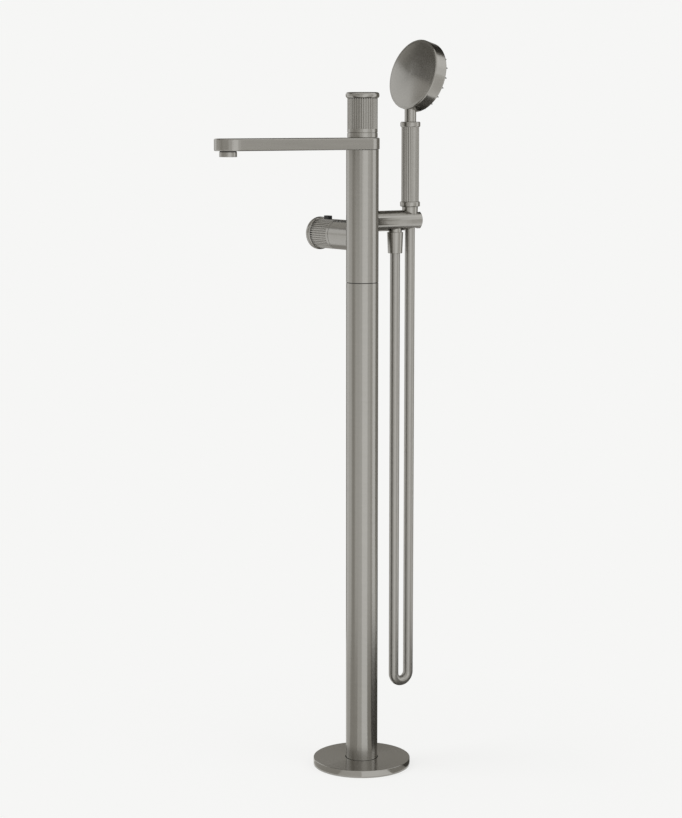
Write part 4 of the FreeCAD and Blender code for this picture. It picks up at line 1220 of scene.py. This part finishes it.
@dataclass
class Thermostat:
    """The sleeve on the column's side, the fluted thermostat knob and its safety button."""

    sleeve_inner: float = 20.1
    sleeve_outer: float = 23.2
    sleeve_edge: float = 0.3
    saddle: float = 25.1
    saddle_edge: float = 0.15
    saddle_hold: float = 0.5
    reach: float = 61.6
    gap: float = 0.9
    # The seal ring in the gap before the knob, set nearly flush so that it also paints the gap's
    # shade.
    seal_and_shade_inner: float = 20.4
    seal_and_shade_outer: float = 22.95
    seal_and_shade_clear: float = 0.05
    grip: float = 44.0
    notch: float = 2.0
    deepening: float = 1.6
    window_gap: float = 0.12
    window_below: float = 6.0
    window_above: float = 3.0
    window_edge: float = 0.05
    button_place: float = 31.8
    button_length: float = 13.2
    button_width: float = 7.4
    button_corner: float = 0.9
    button_edge: float = 0.4
    button_top: float = 28.2
    button_foot: float = 15.2
    dish: tuple[Pair, ...] = ((1.1, 0.0), (1.35, 0.12), (1.7, 0.22), (2.3, 0.28))
    dish_corner: float = 0.3
    corner_steps: int = 6
    edge_steps: int = 5
    segments: int = 160

    def saddle_row(self, radius: float, lift: float) -> Row:
        """A ring where the sleeve meets the column.

        Args:
            radius: the ring's radius about the sleeve's axis.
            lift: how far it stands off the column along the sleeve.

        Returns:
            The points in the sleeve's own frame, in metres.
        """
        row = []
        for place in range(self.segments):
            x, y = on_circle(radius, 2 * math.pi * place / self.segments)
            row.append(Vector((x, y, math.sqrt(self.saddle ** 2 - x ** 2) + lift)) * MM)
        return row

    def sleeve(self) -> Piece:
        """The sleeve, cut to sit on the column.

        Returns:
            The sleeve as an object in the row frame.
        """
        end = self.reach - self.gap
        rows = [self.saddle_row(self.sleeve_inner, 0.0),
                self.saddle_row(self.sleeve_outer - self.saddle_edge, 0.0),
                self.saddle_row(self.sleeve_outer, self.saddle_edge),
                self.saddle_row(self.sleeve_outer, self.saddle_hold)]
        outline = eased([
            (self.sleeve_outer, self.saddle),
            (self.sleeve_outer, end, self.sleeve_edge),
            (self.sleeve_inner, end, self.sleeve_edge),
            (self.sleeve_inner, self.saddle),
        ], False)[1:-1]
        rows += [circle(radius, height, self.segments) for radius, height in outline]
        piece = loft("sleeve_skin", rows, around=True, wrap=True)
        piece.data.transform(THERMOSTAT.matrix())
        return piece

    def rounded_row(self, half_width: float, half_length: float, corner: float,
                    height: float) -> Row:
        """A rounded rectangle across the knob's axis, level at a height above it.

        Args:
            half_width: half its size across the knob.
            half_length: half its size along the knob.
            corner: the rounding of its corners.
            height: its height above the knob's axis.

        Returns:
            The points in the row frame, in metres.
        """
        row = []
        middle = -self.reach - self.button_place
        for quarter, (side, end) in enumerate(((1, 1), (-1, 1), (-1, -1), (1, -1))):
            for step in range(self.corner_steps + 1):
                angle = math.pi / 2 * (quarter + step / self.corner_steps)
                x = side * (half_width - corner) + corner * math.cos(angle)
                y = middle + end * (half_length - corner) + corner * math.sin(angle)
                row.append(Vector((x, y, THERMOSTAT.origin[2] + height)) * MM)
        return row

    def block(self, name: str, margin: float, low: float, high: float, edge: float,
              dish: Sequence[Pair] = ()) -> Piece:
        """The button's stem, or with a margin the window that it slides in.

        Args:
            name: the new object's name.
            margin: how much wider it is than the button on each side.
            low: its foot above the knob's axis.
            high: its top above the knob's axis.
            edge: the rounding of its top edge.
            dish: rows of a hollow in its top, as (how far drawn in, how deep).

        Returns:
            The block as an object in the row frame.
        """
        width, length = self.button_width / 2 + margin, self.button_length / 2 + margin
        middle = Vector((0.0, -self.reach - self.button_place, THERMOSTAT.origin[2])) * MM
        rows: list[Row] = [[middle + Vector((0.0, 0.0, low * MM))],
                           self.rounded_row(width, length, self.button_corner, low)]
        for step in range(self.edge_steps + 1):
            angle = math.pi / 2 * step / self.edge_steps
            draw = edge * (1 - math.cos(angle))
            rows.append(self.rounded_row(width - draw, length - draw, self.button_corner,
                                         high - edge + edge * math.sin(angle)))
        sink = 0.0
        for draw, sink in dish:
            corner = max(self.button_corner - draw / 2, self.dish_corner)
            rows.append(self.rounded_row(width - draw, length - draw, corner, high - sink))
        rows.append([middle + Vector((0.0, 0.0, (high - sink) * MM))])
        return loft(name, rows, around=True, wrap=False)

    def build(self) -> None:
        """Make the sleeve, the knob with its window, the rubber seal ring that also paints the
        gap's shade, and the button.
        """
        install(self.sleeve(), TURNED_NICKEL, THERMOSTAT, "root", "thermostat_sleeve")
        window = self.block("window_block", self.window_gap, self.sleeve_outer - self.window_below,
                            self.sleeve_outer + self.window_above, self.window_edge)
        axis = Axis("thermostat_knob", (0.0, -self.reach, THERMOSTAT.origin[2]), THERMOSTAT.turn)
        Knob("thermostat", "thermostat_knob", axis, self.grip, notch=self.notch,
             deepening=self.deepening).build(window)
        # A rubber seal ring, nearly flush in the gap between sleeve and knob so the gap line reads
        # dark: a seal and painted shade.
        seal = plain_ring("sleeve_seal_and_shade", self.seal_and_shade_inner, self.seal_and_shade_outer,
                          self.reach - self.gap + self.seal_and_shade_clear, self.reach - self.seal_and_shade_clear,
                          THERMOSTAT, self.segments)
        install(seal, RUBBER, THERMOSTAT, "root")
        button = self.block("button_stem", 0.0, self.button_foot, self.button_top,
                            self.button_edge, self.dish)
        install(button, BLACK_PLASTIC, COLUMN, "safety_button", "safety_button")


@dataclass(frozen=True)
class ConeNut:
    """The cone nut at each end of the hose, with its wide end up."""

    large: float = 12.5
    small: float = 11.15
    length: float = 32.8
    bore: float = 10.3
    hose_bore: float = 7.9
    shoulder: float = 15.0
    edge: float = 0.6
    bore_edge: float = 0.3

    def make(self, name: str, axis: Axis, low: float) -> Piece:
        """The nut at a place.

        Args:
            name: the new object's name.
            axis: the axis that it is turned on.
            low: its lower end's height.

        Returns:
            The nut as an object in the row frame.
        """
        return turned(name, [
            (self.hose_bore, low, self.bore_edge),
            (self.small, low, self.edge),
            (self.large, low + self.length, self.edge),
            (self.bore, low + self.length, self.bore_edge),
            (self.bore, low + self.shoulder),
            (self.hose_bore, low + self.shoulder),
        ], axis, segments=112)


@dataclass
class Holder:
    """The holder arm, the outlet nipple under it and the cone nut that holds the hose."""

    radius: float = 15.75
    bore_radius: float = 13.4
    bore_normal: float = 0.3
    end_normal: float = 0.8
    nipple_bore: float = 5.0
    nipple_radius: float = 10.2
    nipple_low: float = 831.4
    nipple_high: float = 853.25
    nut_low: float = 810.4

    def grain(self, mesh: bpy.types.Mesh) -> None:
        """Give the arm its map: brushing round the arm, and round the bore inside it.

        Args:
            mesh: the arm's mesh, in the row frame.
        """
        layer = mesh.uv_layers.new(name=GRAIN).data
        lift = ARM.origin[2] * MM
        holder = HANDSET.origin[0] * MM
        for face in mesh.polygons:
            centre, normal = face.center, face.normal
            within = math.hypot(centre.x - holder, centre.y) < self.bore_radius * MM
            in_bore = within and abs(normal.z) < self.bore_normal
            facing_end = abs(normal.x) > self.end_normal and not in_bore
            away = math.atan2(centre.y, centre.x - holder if in_bore else centre.z - lift)
            for index in face.loop_indices:
                spot = mesh.vertices[mesh.loops[index].vertex_index].co
                if in_bore:
                    angle = math.atan2(spot.y, spot.x - holder)
                    across, girth = spot.z, self.bore_radius
                else:
                    angle = math.atan2(spot.y, spot.z - lift)
                    across, girth = spot.x, self.radius
                    if facing_end:
                        across = math.hypot(spot.y, spot.z - lift)
                angle = away + (angle - away + math.pi) % (2 * math.pi) - math.pi
                layer[index].uv = (across, angle * girth * MM)

    def arm(self) -> Piece:
        """A welded copy of the CAD arm, with its map.

        Returns:
            The arm as an object in the row frame.
        """
        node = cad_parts["holder_arm"]
        mesh = node.data.copy()
        mesh.name = "arm_skin"
        mesh.transform(node.matrix_world)
        work = bmesh.new()
        work.from_mesh(mesh)
        bmesh.ops.remove_doubles(work, verts=work.verts, dist=CAD_WELD)
        work.to_mesh(mesh)
        work.free()
        self.grain(mesh)
        smooth(mesh)
        return placed("arm_skin", mesh)

    def build(self) -> None:
        """Make the arm, the nipple and the nut, and dress them."""
        install(self.arm(), TURNED_NICKEL, ARM, "root", "holder_arm")
        nipple = plain_ring("nipple_tube", self.nipple_bore, self.nipple_radius, self.nipple_low,
                            self.nipple_high, OUTLET, segments=96)
        install(nipple, TURNED_NICKEL, OUTLET, "root", "outlet_nipple")
        nut = ConeNut().make("outlet_cone", OUTLET, self.nut_low)
        install(nut, TURNED_NICKEL, OUTLET, "root", "outlet_nut")


@dataclass
class Handset:
    """The handset up to its head: cone nut, neck tube, two rings and the fluted grip."""

    nut_low: float = 849.2
    base: float = 882.0
    ring_radius: float = 15.5
    ring_length: float = 8.0
    ring_edge: float = 1.6
    ring_fit: float = 0.1
    grip_radius: float = 13.75
    grip_bore: float = 11.5
    grip_length: float = 115.0
    flutes: int = 32
    flute_depth: float = 0.4
    flute_steps: int = 16
    neck_radius: float = 9.0
    neck_bore: float = 5.0
    neck_foot: float = 870.2
    neck_shoulder: float = 10.2
    neck_top: float = 1036.0

    def neck(self) -> Piece:
        """The tube that runs from the nut up into the head.

        Returns:
            The tube as an object in the row frame.
        """
        return turned("neck_tube", [
            (self.neck_bore, self.neck_foot),
            (self.neck_shoulder, self.neck_foot),
            (self.neck_shoulder, self.base),
            (self.neck_radius, self.base),
            (self.neck_radius, self.neck_top),
            (self.neck_bore, self.neck_top),
        ], HANDSET, segments=112)

    def band(self, name: str, low: float) -> Piece:
        """One of the two rings that close the grip.

        Args:
            name: the new object's name.
            low: the ring's lower end.

        Returns:
            The ring as an object in the row frame.
        """
        inner, high = self.neck_radius + self.ring_fit, low + self.ring_length
        return turned(name, [
            (inner, low),
            (self.ring_radius, low, self.ring_edge),
            (self.ring_radius, high, self.ring_edge),
            (inner, high),
        ], HANDSET, segments=128, steps=8)

    def grip_sector(self) -> Piece:
        """One rib of the grip to the next.

        Returns:
            The sector's skin.
        """
        low = self.base + self.ring_length
        high = low + self.grip_length
        rows = ((self.grip_bore, low, 0.0), (self.grip_radius, low, 1.0),
                (self.grip_radius, high, 1.0), (self.grip_bore, high, 0.0))
        columns = []
        for step in range(self.flute_steps + 1):
            wave = 1 - math.cos(2 * math.pi * step / self.flute_steps)
            columns.append((360 / self.flutes * step / self.flute_steps,
                            self.flute_depth / 2 * wave))
        return fluted_sector("grip_fluted", rows, columns)

    def build(self) -> None:
        """Make the nut, the neck, the rings and the grip, and dress them."""
        nut = ConeNut().make("handset_cone", HANDSET, self.nut_low)
        install(nut, TURNED_NICKEL, HANDSET, "handset", "handset_nut")
        install(self.neck(), TURNED_NICKEL, HANDSET, "handset", "handset_core")
        upper = self.base + self.ring_length + self.grip_length
        for label, low in (("lower", self.base), ("upper", upper)):
            band = self.band(f"grip_band_{label}", low)
            install(band, TURNED_NICKEL, HANDSET, "handset", f"grip_ring_{label}")
        finish = TURNED_NICKEL.on(HANDSET)
        grip = repeated(self.grip_sector(), self.flutes, finish, HANDSET)
        install(grip, TURNED_NICKEL, HANDSET, "handset", "grip")


@dataclass
class Head:
    """The round head: its domed shell, the spray plate and three rings of nozzles.

    The nozzle_radii are a nozzle's radii at its foot, at the plate's face, at its tip and in its
    hole. The nozzle_rings give each ring's name, radius and number of nozzles.
    """

    radius: float = 55.0
    thickness: float = 22.0
    wall: float = 3.0
    dome: float = 4.0
    dome_steps: int = 16
    dome_hold: float = 0.5
    edge: float = 2.2
    rim_edge: float = 0.2
    ledge: float = 4.0
    gasket_back: float = 16.5
    plate_back: float = 19.0
    plate_fit: float = 0.1
    plate_edge: float = 0.3
    nozzle_tip: float = 27.0
    nozzle_radii: tuple[float, float, float, float] = (1.4, 1.25, 0.95, 0.42)
    nozzle_roundings: Pair = (0.3, 0.1)
    nozzle_hole: float = 1.1
    nozzle_hold: float = 0.04
    nozzle_segments: int = 14
    nozzle_rings: tuple[tuple[str, float, int], ...] = (
        ("inner", 17.0, 8), ("middle", 34.0, 14), ("outer", 50.3, 20))

    def shell(self) -> Piece:
        """The shell with its domed back, rounded rim and the ledge that the gasket lies on.

        Returns:
            The shell as an object in the row frame.
        """
        inner = self.radius - self.wall
        flat = self.radius - self.edge - self.dome_hold
        shares = [step / self.dome_steps for step in range(self.dome_steps + 1)]
        return turned("head_skin", [
            *[(flat * share, self.dome * (share ** 2 - 1)) for share in shares],
            (self.radius, 0.0, self.edge),
            (self.radius, self.thickness, self.edge),
            (inner, self.thickness, self.rim_edge),
            (inner, self.gasket_back),
            (inner - self.ledge, self.gasket_back),
            (inner - self.ledge, self.wall),
            (0.0, self.wall),
        ], HEAD, segments=192, steps=8)

    def plate(self) -> Piece:
        """The plate that the nozzles stand on.

        Returns:
            The plate as an object in the row frame.
        """
        outer = self.radius - self.wall - self.plate_fit
        return turned("spray_face", [
            (0.0, self.plate_back),
            (outer, self.plate_back),
            (outer, self.thickness, self.plate_edge),
            (0.0, self.thickness),
        ], HEAD, segments=160)

    def nozzle(self, name: str, distance: float) -> Piece:
        """One soft nozzle with a rounded tip and a hole in it.

        Args:
            name: the new object's name.
            distance: how far it stands from the head's axis.

        Returns:
            The nozzle in the head's own frame.
        """
        foot, waist, end, hole = self.nozzle_radii
        tip_edge, hole_edge = self.nozzle_roundings
        floor = self.nozzle_tip - self.nozzle_hole
        outline = eased([
            (0.0, self.plate_back),
            (foot, self.plate_back),
            (waist, self.thickness),
            (end, self.nozzle_tip, tip_edge),
            (hole, self.nozzle_tip, hole_edge),
            (hole, floor),
            (0.0, floor),
        ], False, steps=3, hold=self.nozzle_hold)
        rows = [circle(radius, height, self.nozzle_segments) for radius, height in outline]
        piece = loft(name, rows, around=True, wrap=False)
        piece.data.transform(Matrix.Translation(Vector((distance * MM, 0.0, 0.0))))
        return piece

    def build(self) -> None:
        """Make the shell, the plate and the nozzles, and dress them."""
        install(self.shell(), TURNED_NICKEL, HEAD, "handset", "head_shell")
        install(self.plate(), TURNED_NICKEL, HEAD, "handset", "spray_plate")
        for label, distance, count in self.nozzle_rings:
            nozzle = self.nozzle(f"nozzles_{label}", distance)
            ring = repeated(nozzle, count, SILICONE.on(HEAD), HEAD)
            install(ring, SILICONE, HEAD, "handset", "nozzle_mat")


# Studio

@dataclass(frozen=True)
class Card:
    """A card of the light tent, of one plain tone.

    Its start and end are turns from the camera's side, and low and high are places up the tent.
    """

    name: str
    start: float
    end: float
    low: float
    high: float
    tone: float


@dataclass(frozen=True)
class Lamp:
    """A soft square lamp: its place and side in metres, and its power in watts."""

    name: str
    place: Triple
    side: float
    power: float


@dataclass(frozen=True)
class Tent:
    """A round light tent's outline, in metres: along the floor, up the wall, in under the roof."""

    hole: float = 0.0775
    radius: float = 2.6
    height: float = 3.2
    lift: float = 0.002

    def spot(self, place: float) -> Pair:
        """A point of the outline.

        Args:
            place: its distance along the outline from the middle of the floor.

        Returns:
            Its radius and its height.
        """
        if place <= self.radius:
            return max(place, self.hole), self.lift
        if place <= self.radius + self.height:
            return self.radius, place - self.radius
        return 2 * self.radius + self.height - place, self.height

    def outline(self, low: float, high: float) -> list[Pair]:
        """The outline between two places, with its corners.

        Args:
            low: the first place.
            high: the last place.

        Returns:
            The radius and height of each point.
        """
        corners = [corner for corner in (self.radius, self.radius + self.height)
                   if low < corner < high]
        return [self.spot(place) for place in (low, *corners, high)]


def aim(item: Piece, place: Vector, look: Vector) -> None:
    """Set a camera or a lamp at a place, looking along a direction.

    Args:
        item: the camera or the lamp.
        place: where it stands, in metres.
        look: the direction that it looks in.
    """
    item.location = place
    item.rotation_mode = "QUATERNION"
    item.rotation_quaternion = look.to_track_quat("-Z", "Y")


@dataclass
class Studio:
    """Camera, pale floor, soft lamps and the cards that give brushed metal its bands.

    Over the distances of fade_reach, in metres from the foot, the floor's share of plain pale
    colour grows as fade_glow says, so that the shadow fades out. The card_warmth is how much red a
    dim card gains and how much blue it loses.
    """

    camera_place: Triple = (1843.4, 2601.8, 1020.45)
    camera_heading: Pair = (-0.5697, -0.8219)
    camera_pitch: float = 8.037
    lens: float = 91.05
    sensor: float = 36.0
    pale: Triple = (0.922, 0.922, 0.913)
    ambient: float = 0.62
    floor_reach: float = 40.0
    floor_roughness: float = 0.9
    fade_reach: Pair = (0.1, 0.6)
    fade_glow: Pair = (0.8, 1.0)
    lamp_target: Triple = (0.0, 0.0, 0.6)
    lamps: tuple[Lamp, ...] = (
        Lamp("key_lamp", (2.2, -1.2, 3.0), 2.0, 55.0),
        Lamp("fill_lamp", (-1.6, 2.8, 2.4), 2.4, 30.0),
    )
    facing: float = 54.7
    card_step: float = 5.0
    card_warmth: Pair = (0.06, 0.12)
    tent: Tent = Tent()
    cards: tuple[Card, ...] = (
        Card("floor_left_1", -180.0, -90.0, 0.0, 0.8, 0.74),
        Card("floor_left_2", -90.0, -30.0, 0.0, 0.8, 0.48),
        Card("floor_front_1", -30.0, 0.0, 0.0, 0.8, 0.74),
        Card("floor_front_2", 0.0, 40.0, 0.0, 0.8, 1.08),
        Card("floor_right_1", 40.0, 70.0, 0.0, 0.8, 0.40),
        Card("floor_right_2", 70.0, 180.0, 0.0, 0.8, 0.08),
        Card("floor_right_3", 110.0, 150.0, 0.8, 1.5, 0.68),
        Card("floor_back_1", 150.0, 180.0, 0.8, 1.5, 0.00),
        Card("apron_left_1", -110.0, -80.0, 0.8, 3.4, 0.88),
        Card("apron_front_1", -50.0, -20.0, 0.8, 3.4, 0.82),
        Card("apron_back_1", -180.0, -140.0, 0.8, 3.8, 0.38),
        Card("apron_left_2", -140.0, -110.0, 0.8, 3.8, 0.98),
        Card("apron_left_3", -80.0, -70.0, 0.8, 3.8, 0.58),
        Card("apron_left_4", -70.0, -60.0, 0.8, 3.8, 0.48),
        Card("apron_left_5", -60.0, -50.0, 0.8, 3.8, 0.58),
        Card("apron_front_2", -20.0, 0.0, 0.8, 3.8, 0.86),
        Card("apron_front_3", 0.0, 40.0, 0.8, 3.8, 1.16),
        Card("apron_right_1", 40.0, 60.0, 0.8, 3.8, 0.82),
        Card("apron_right_2", 60.0, 80.0, 0.8, 3.8, 0.66),
        Card("apron_right_3", 80.0, 90.0, 0.8, 3.8, 1.18),
        Card("apron_right_4", 90.0, 110.0, 0.8, 3.8, 1.10),
        Card("apron_back_2", 110.0, 180.0, 1.5, 3.8, 0.34),
        Card("wall_left_1", -110.0, -80.0, 3.4, 3.8, 0.62),
        Card("wall_front_1", -50.0, -20.0, 3.4, 3.8, 0.48),
        Card("wall_back_1", -180.0, -170.0, 3.8, 4.6, 0.18),
        Card("wall_left_2", -170.0, -100.0, 3.8, 4.6, 1.00),
        Card("wall_front_2", -100.0, 10.0, 3.8, 4.6, 0.52),
        Card("wall_right_1", 10.0, 110.0, 3.8, 4.6, 1.06),
        Card("wall_back_2", 110.0, 180.0, 3.8, 4.6, 0.42),
        Card("wall_back_3", -180.0, -160.0, 4.6, 5.8, 0.00),
        Card("wall_back_4", -160.0, -120.0, 4.6, 5.8, 0.50),
        Card("wall_left_3", -120.0, -80.0, 4.6, 5.8, 0.16),
        Card("wall_front_3", -80.0, 70.0, 4.6, 5.8, 0.86),
        Card("wall_right_2", 70.0, 120.0, 4.6, 5.8, 1.18),
        Card("wall_right_3", 120.0, 130.0, 4.6, 5.8, 0.20),
        Card("wall_back_5", 130.0, 180.0, 4.6, 5.8, 0.04),
        Card("roof_left_1", -180.0, -70.0, 5.8, 8.4, 0.24),
        Card("roof_front_1", -70.0, 120.0, 5.8, 8.4, 0.78),
        Card("roof_back_1", 120.0, 180.0, 5.8, 8.4, 0.06),
    )

    def aim_camera(self) -> None:
        """Set the camera where the photograph was taken from."""
        data = bpy.data.cameras.new("camera")
        data.lens, data.sensor_width = self.lens, self.sensor
        camera = placed("camera", data)
        pitch = math.radians(self.camera_pitch)
        x, y = (part * math.cos(pitch) for part in self.camera_heading)
        aim(camera, Vector(self.camera_place) * MM, Vector((x, y, -math.sin(pitch))))
        bpy.context.scene.camera = camera

    def seen_directly(self, tree: Tree) -> Socket:
        """Tell the camera's, a reflection's and a glass's rays from the light on a surface.

        Args:
            tree: the tree that the nodes go into.

        Returns:
            A socket that gives 1 for those rays and 0 for the light.
        """
        path = tree.nodes.new("ShaderNodeLightPath")
        both = math_node(tree, "MAXIMUM", path.outputs["Is Camera Ray"],
                         path.outputs["Is Glossy Ray"])
        return math_node(tree, "MAXIMUM", both, path.outputs["Is Transmission Ray"])

    def set_world(self) -> None:
        """A pale backdrop all round, and a plain soft light level."""
        world = bpy.data.worlds.new("pale_room")
        world.use_nodes = True
        bpy.context.scene.world = world
        tree = world.node_tree
        tree.nodes.clear()
        shown, lit = (tree.nodes.new("ShaderNodeBackground") for _ in range(2))
        shown.inputs["Color"].default_value = (*self.pale, 1.0)
        lit.inputs["Strength"].default_value = self.ambient
        lit.inputs["Color"].default_value = (1.0, 1.0, 1.0, 1.0)
        mix, out = tree.nodes.new("ShaderNodeMixShader"), tree.nodes.new("ShaderNodeOutputWorld")
        tree.links.new(self.seen_directly(tree), mix.inputs[0])
        tree.links.new(lit.outputs[0], mix.inputs[1])
        tree.links.new(shown.outputs[0], mix.inputs[2])
        tree.links.new(mix.outputs[0], out.inputs[0])

    def floor_material(self) -> Material:
        """Pale all over, with the object's shadow fading out away from the foot.

        Returns:
            The floor's material.
        """
        material = bpy.data.materials.new("pale_floor")
        material.use_nodes = True
        tree = material.node_tree
        shader = tree.nodes["Principled BSDF"]
        shader.inputs["Base Color"].default_value = (*self.pale, 1.0)
        shader.inputs["Roughness"].default_value = self.floor_roughness
        shader.inputs["Specular IOR Level"].default_value = 0.0
        glow, mix = tree.nodes.new("ShaderNodeEmission"), tree.nodes.new("ShaderNodeMixShader")
        glow.inputs["Color"].default_value = (*self.pale, 1.0)
        place, away = tree.nodes.new("ShaderNodeTexCoord"), tree.nodes.new("ShaderNodeVectorMath")
        away.operation = "LENGTH"
        fade = tree.nodes.new("ShaderNodeMapRange")
        for label, (low, high) in (("From", self.fade_reach), ("To", self.fade_glow)):
            fade.inputs[f"{label} Min"].default_value = low
            fade.inputs[f"{label} Max"].default_value = high
        tree.links.new(place.outputs["Object"], away.inputs[0])
        tree.links.new(away.outputs["Value"], fade.inputs["Value"])
        share = math_node(tree, "MULTIPLY", self.seen_directly(tree), fade.outputs[0])
        tree.links.new(share, mix.inputs[0])
        tree.links.new(shader.outputs[0], mix.inputs[1])
        tree.links.new(glow.outputs[0], mix.inputs[2])
        tree.links.new(mix.outputs[0], tree.nodes["Material Output"].inputs["Surface"])
        return material

    def lay_floor(self) -> None:
        """A pale floor that keeps a faint shadow near the foot."""
        reach = self.floor_reach
        corners = [(x * reach, y * reach, 0.0) for x, y in ((-1, -1), (1, -1), (1, 1), (-1, 1))]
        mesh = bpy.data.meshes.new("floor")
        mesh.from_pydata(corners, [], [(0, 1, 2, 3)])
        mesh.materials.append(self.floor_material())
        placed("floor", mesh)

    def card_skin(self, card: Card) -> Piece:
        """A card's surface, on the tent's outline.

        Args:
            card: the card.

        Returns:
            The surface as an object.
        """
        steps = max(round((card.end - card.start) / self.card_step), 2)
        rows: list[Row] = []
        for radius, height in self.tent.outline(card.low, card.high):
            row = []
            for step in range(steps + 1):
                turn = self.facing + card.start + (card.end - card.start) * step / steps
                row.append(Vector((*on_circle(radius, math.radians(turn)), height)))
            rows.append(row)
        return loft(f"card_{card.name}", rows, around=False, wrap=False)

    def hang_card(self, card: Card) -> None:
        """Hang one card in the tent, seen by reflections alone.

        Args:
            card: the card.
        """
        piece = self.card_skin(card)
        material = bpy.data.materials.new(piece.name)
        material.use_nodes = True
        material.cycles.emission_sampling = "NONE"
        tree = material.node_tree
        tree.nodes.clear()
        glow, out = tree.nodes.new("ShaderNodeEmission"), tree.nodes.new("ShaderNodeOutputMaterial")
        red, blue = self.card_warmth
        dim = max(1 - card.tone, 0.0)
        glow.inputs["Color"].default_value = (1.0 + red * dim, 1.0, 1.0 - blue * dim, 1.0)
        glow.inputs["Strength"].default_value = card.tone
        tree.links.new(glow.outputs[0], out.inputs["Surface"])
        piece.data.materials.append(material)
        piece.visible_camera = piece.visible_diffuse = piece.visible_shadow = False

    def hang_lamp(self, lamp: Lamp) -> None:
        """Hang one lamp, aimed at the mixer and seen by no reflection.

        Args:
            lamp: the lamp.
        """
        data = bpy.data.lights.new(lamp.name, "AREA")
        data.shape, data.size, data.energy = "SQUARE", lamp.side, lamp.power
        item = placed(lamp.name, data)
        place = Vector(lamp.place)
        aim(item, place, Vector(self.lamp_target) - place)
        item.visible_glossy = False

    def build(self) -> None:
        """Set up everything round the object."""
        bpy.context.scene.view_settings.view_transform = "Standard"
        self.aim_camera()
        self.set_world()
        self.lay_floor()
        for card in self.cards:
            self.hang_card(card)
        for lamp in self.lamps:
            self.hang_lamp(lamp)


def dress_inner_nodes() -> None:
    """Give every CAD node that stays its finish."""
    dressed: dict[str, Material] = {}
    for finish, names in CAD_FINISHES.items():
        for name in names:
            dressed[name] = finish.on(COLUMN, mapped=False)
    for name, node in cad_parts.items():
        material = dressed.get(name, TURNED_NICKEL.on(COLUMN, mapped=False))
        for slot in node.material_slots:
            slot.material = material
    log.info("%d CAD nodes dressed", len(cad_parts))


def main() -> None:
    """Build the studio and the mixer."""
    logging.basicConfig(level=logging.INFO, format="%(message)s")
    Studio().build()
    for assembly in (Hose(), Foot(), Column(), Spout(), Aerator(), FlowControl(), Thermostat(),
                     Holder(), Handset(), Head()):
        assembly.build()
    dress_inner_nodes()


if __name__ == "__main__":
    main()
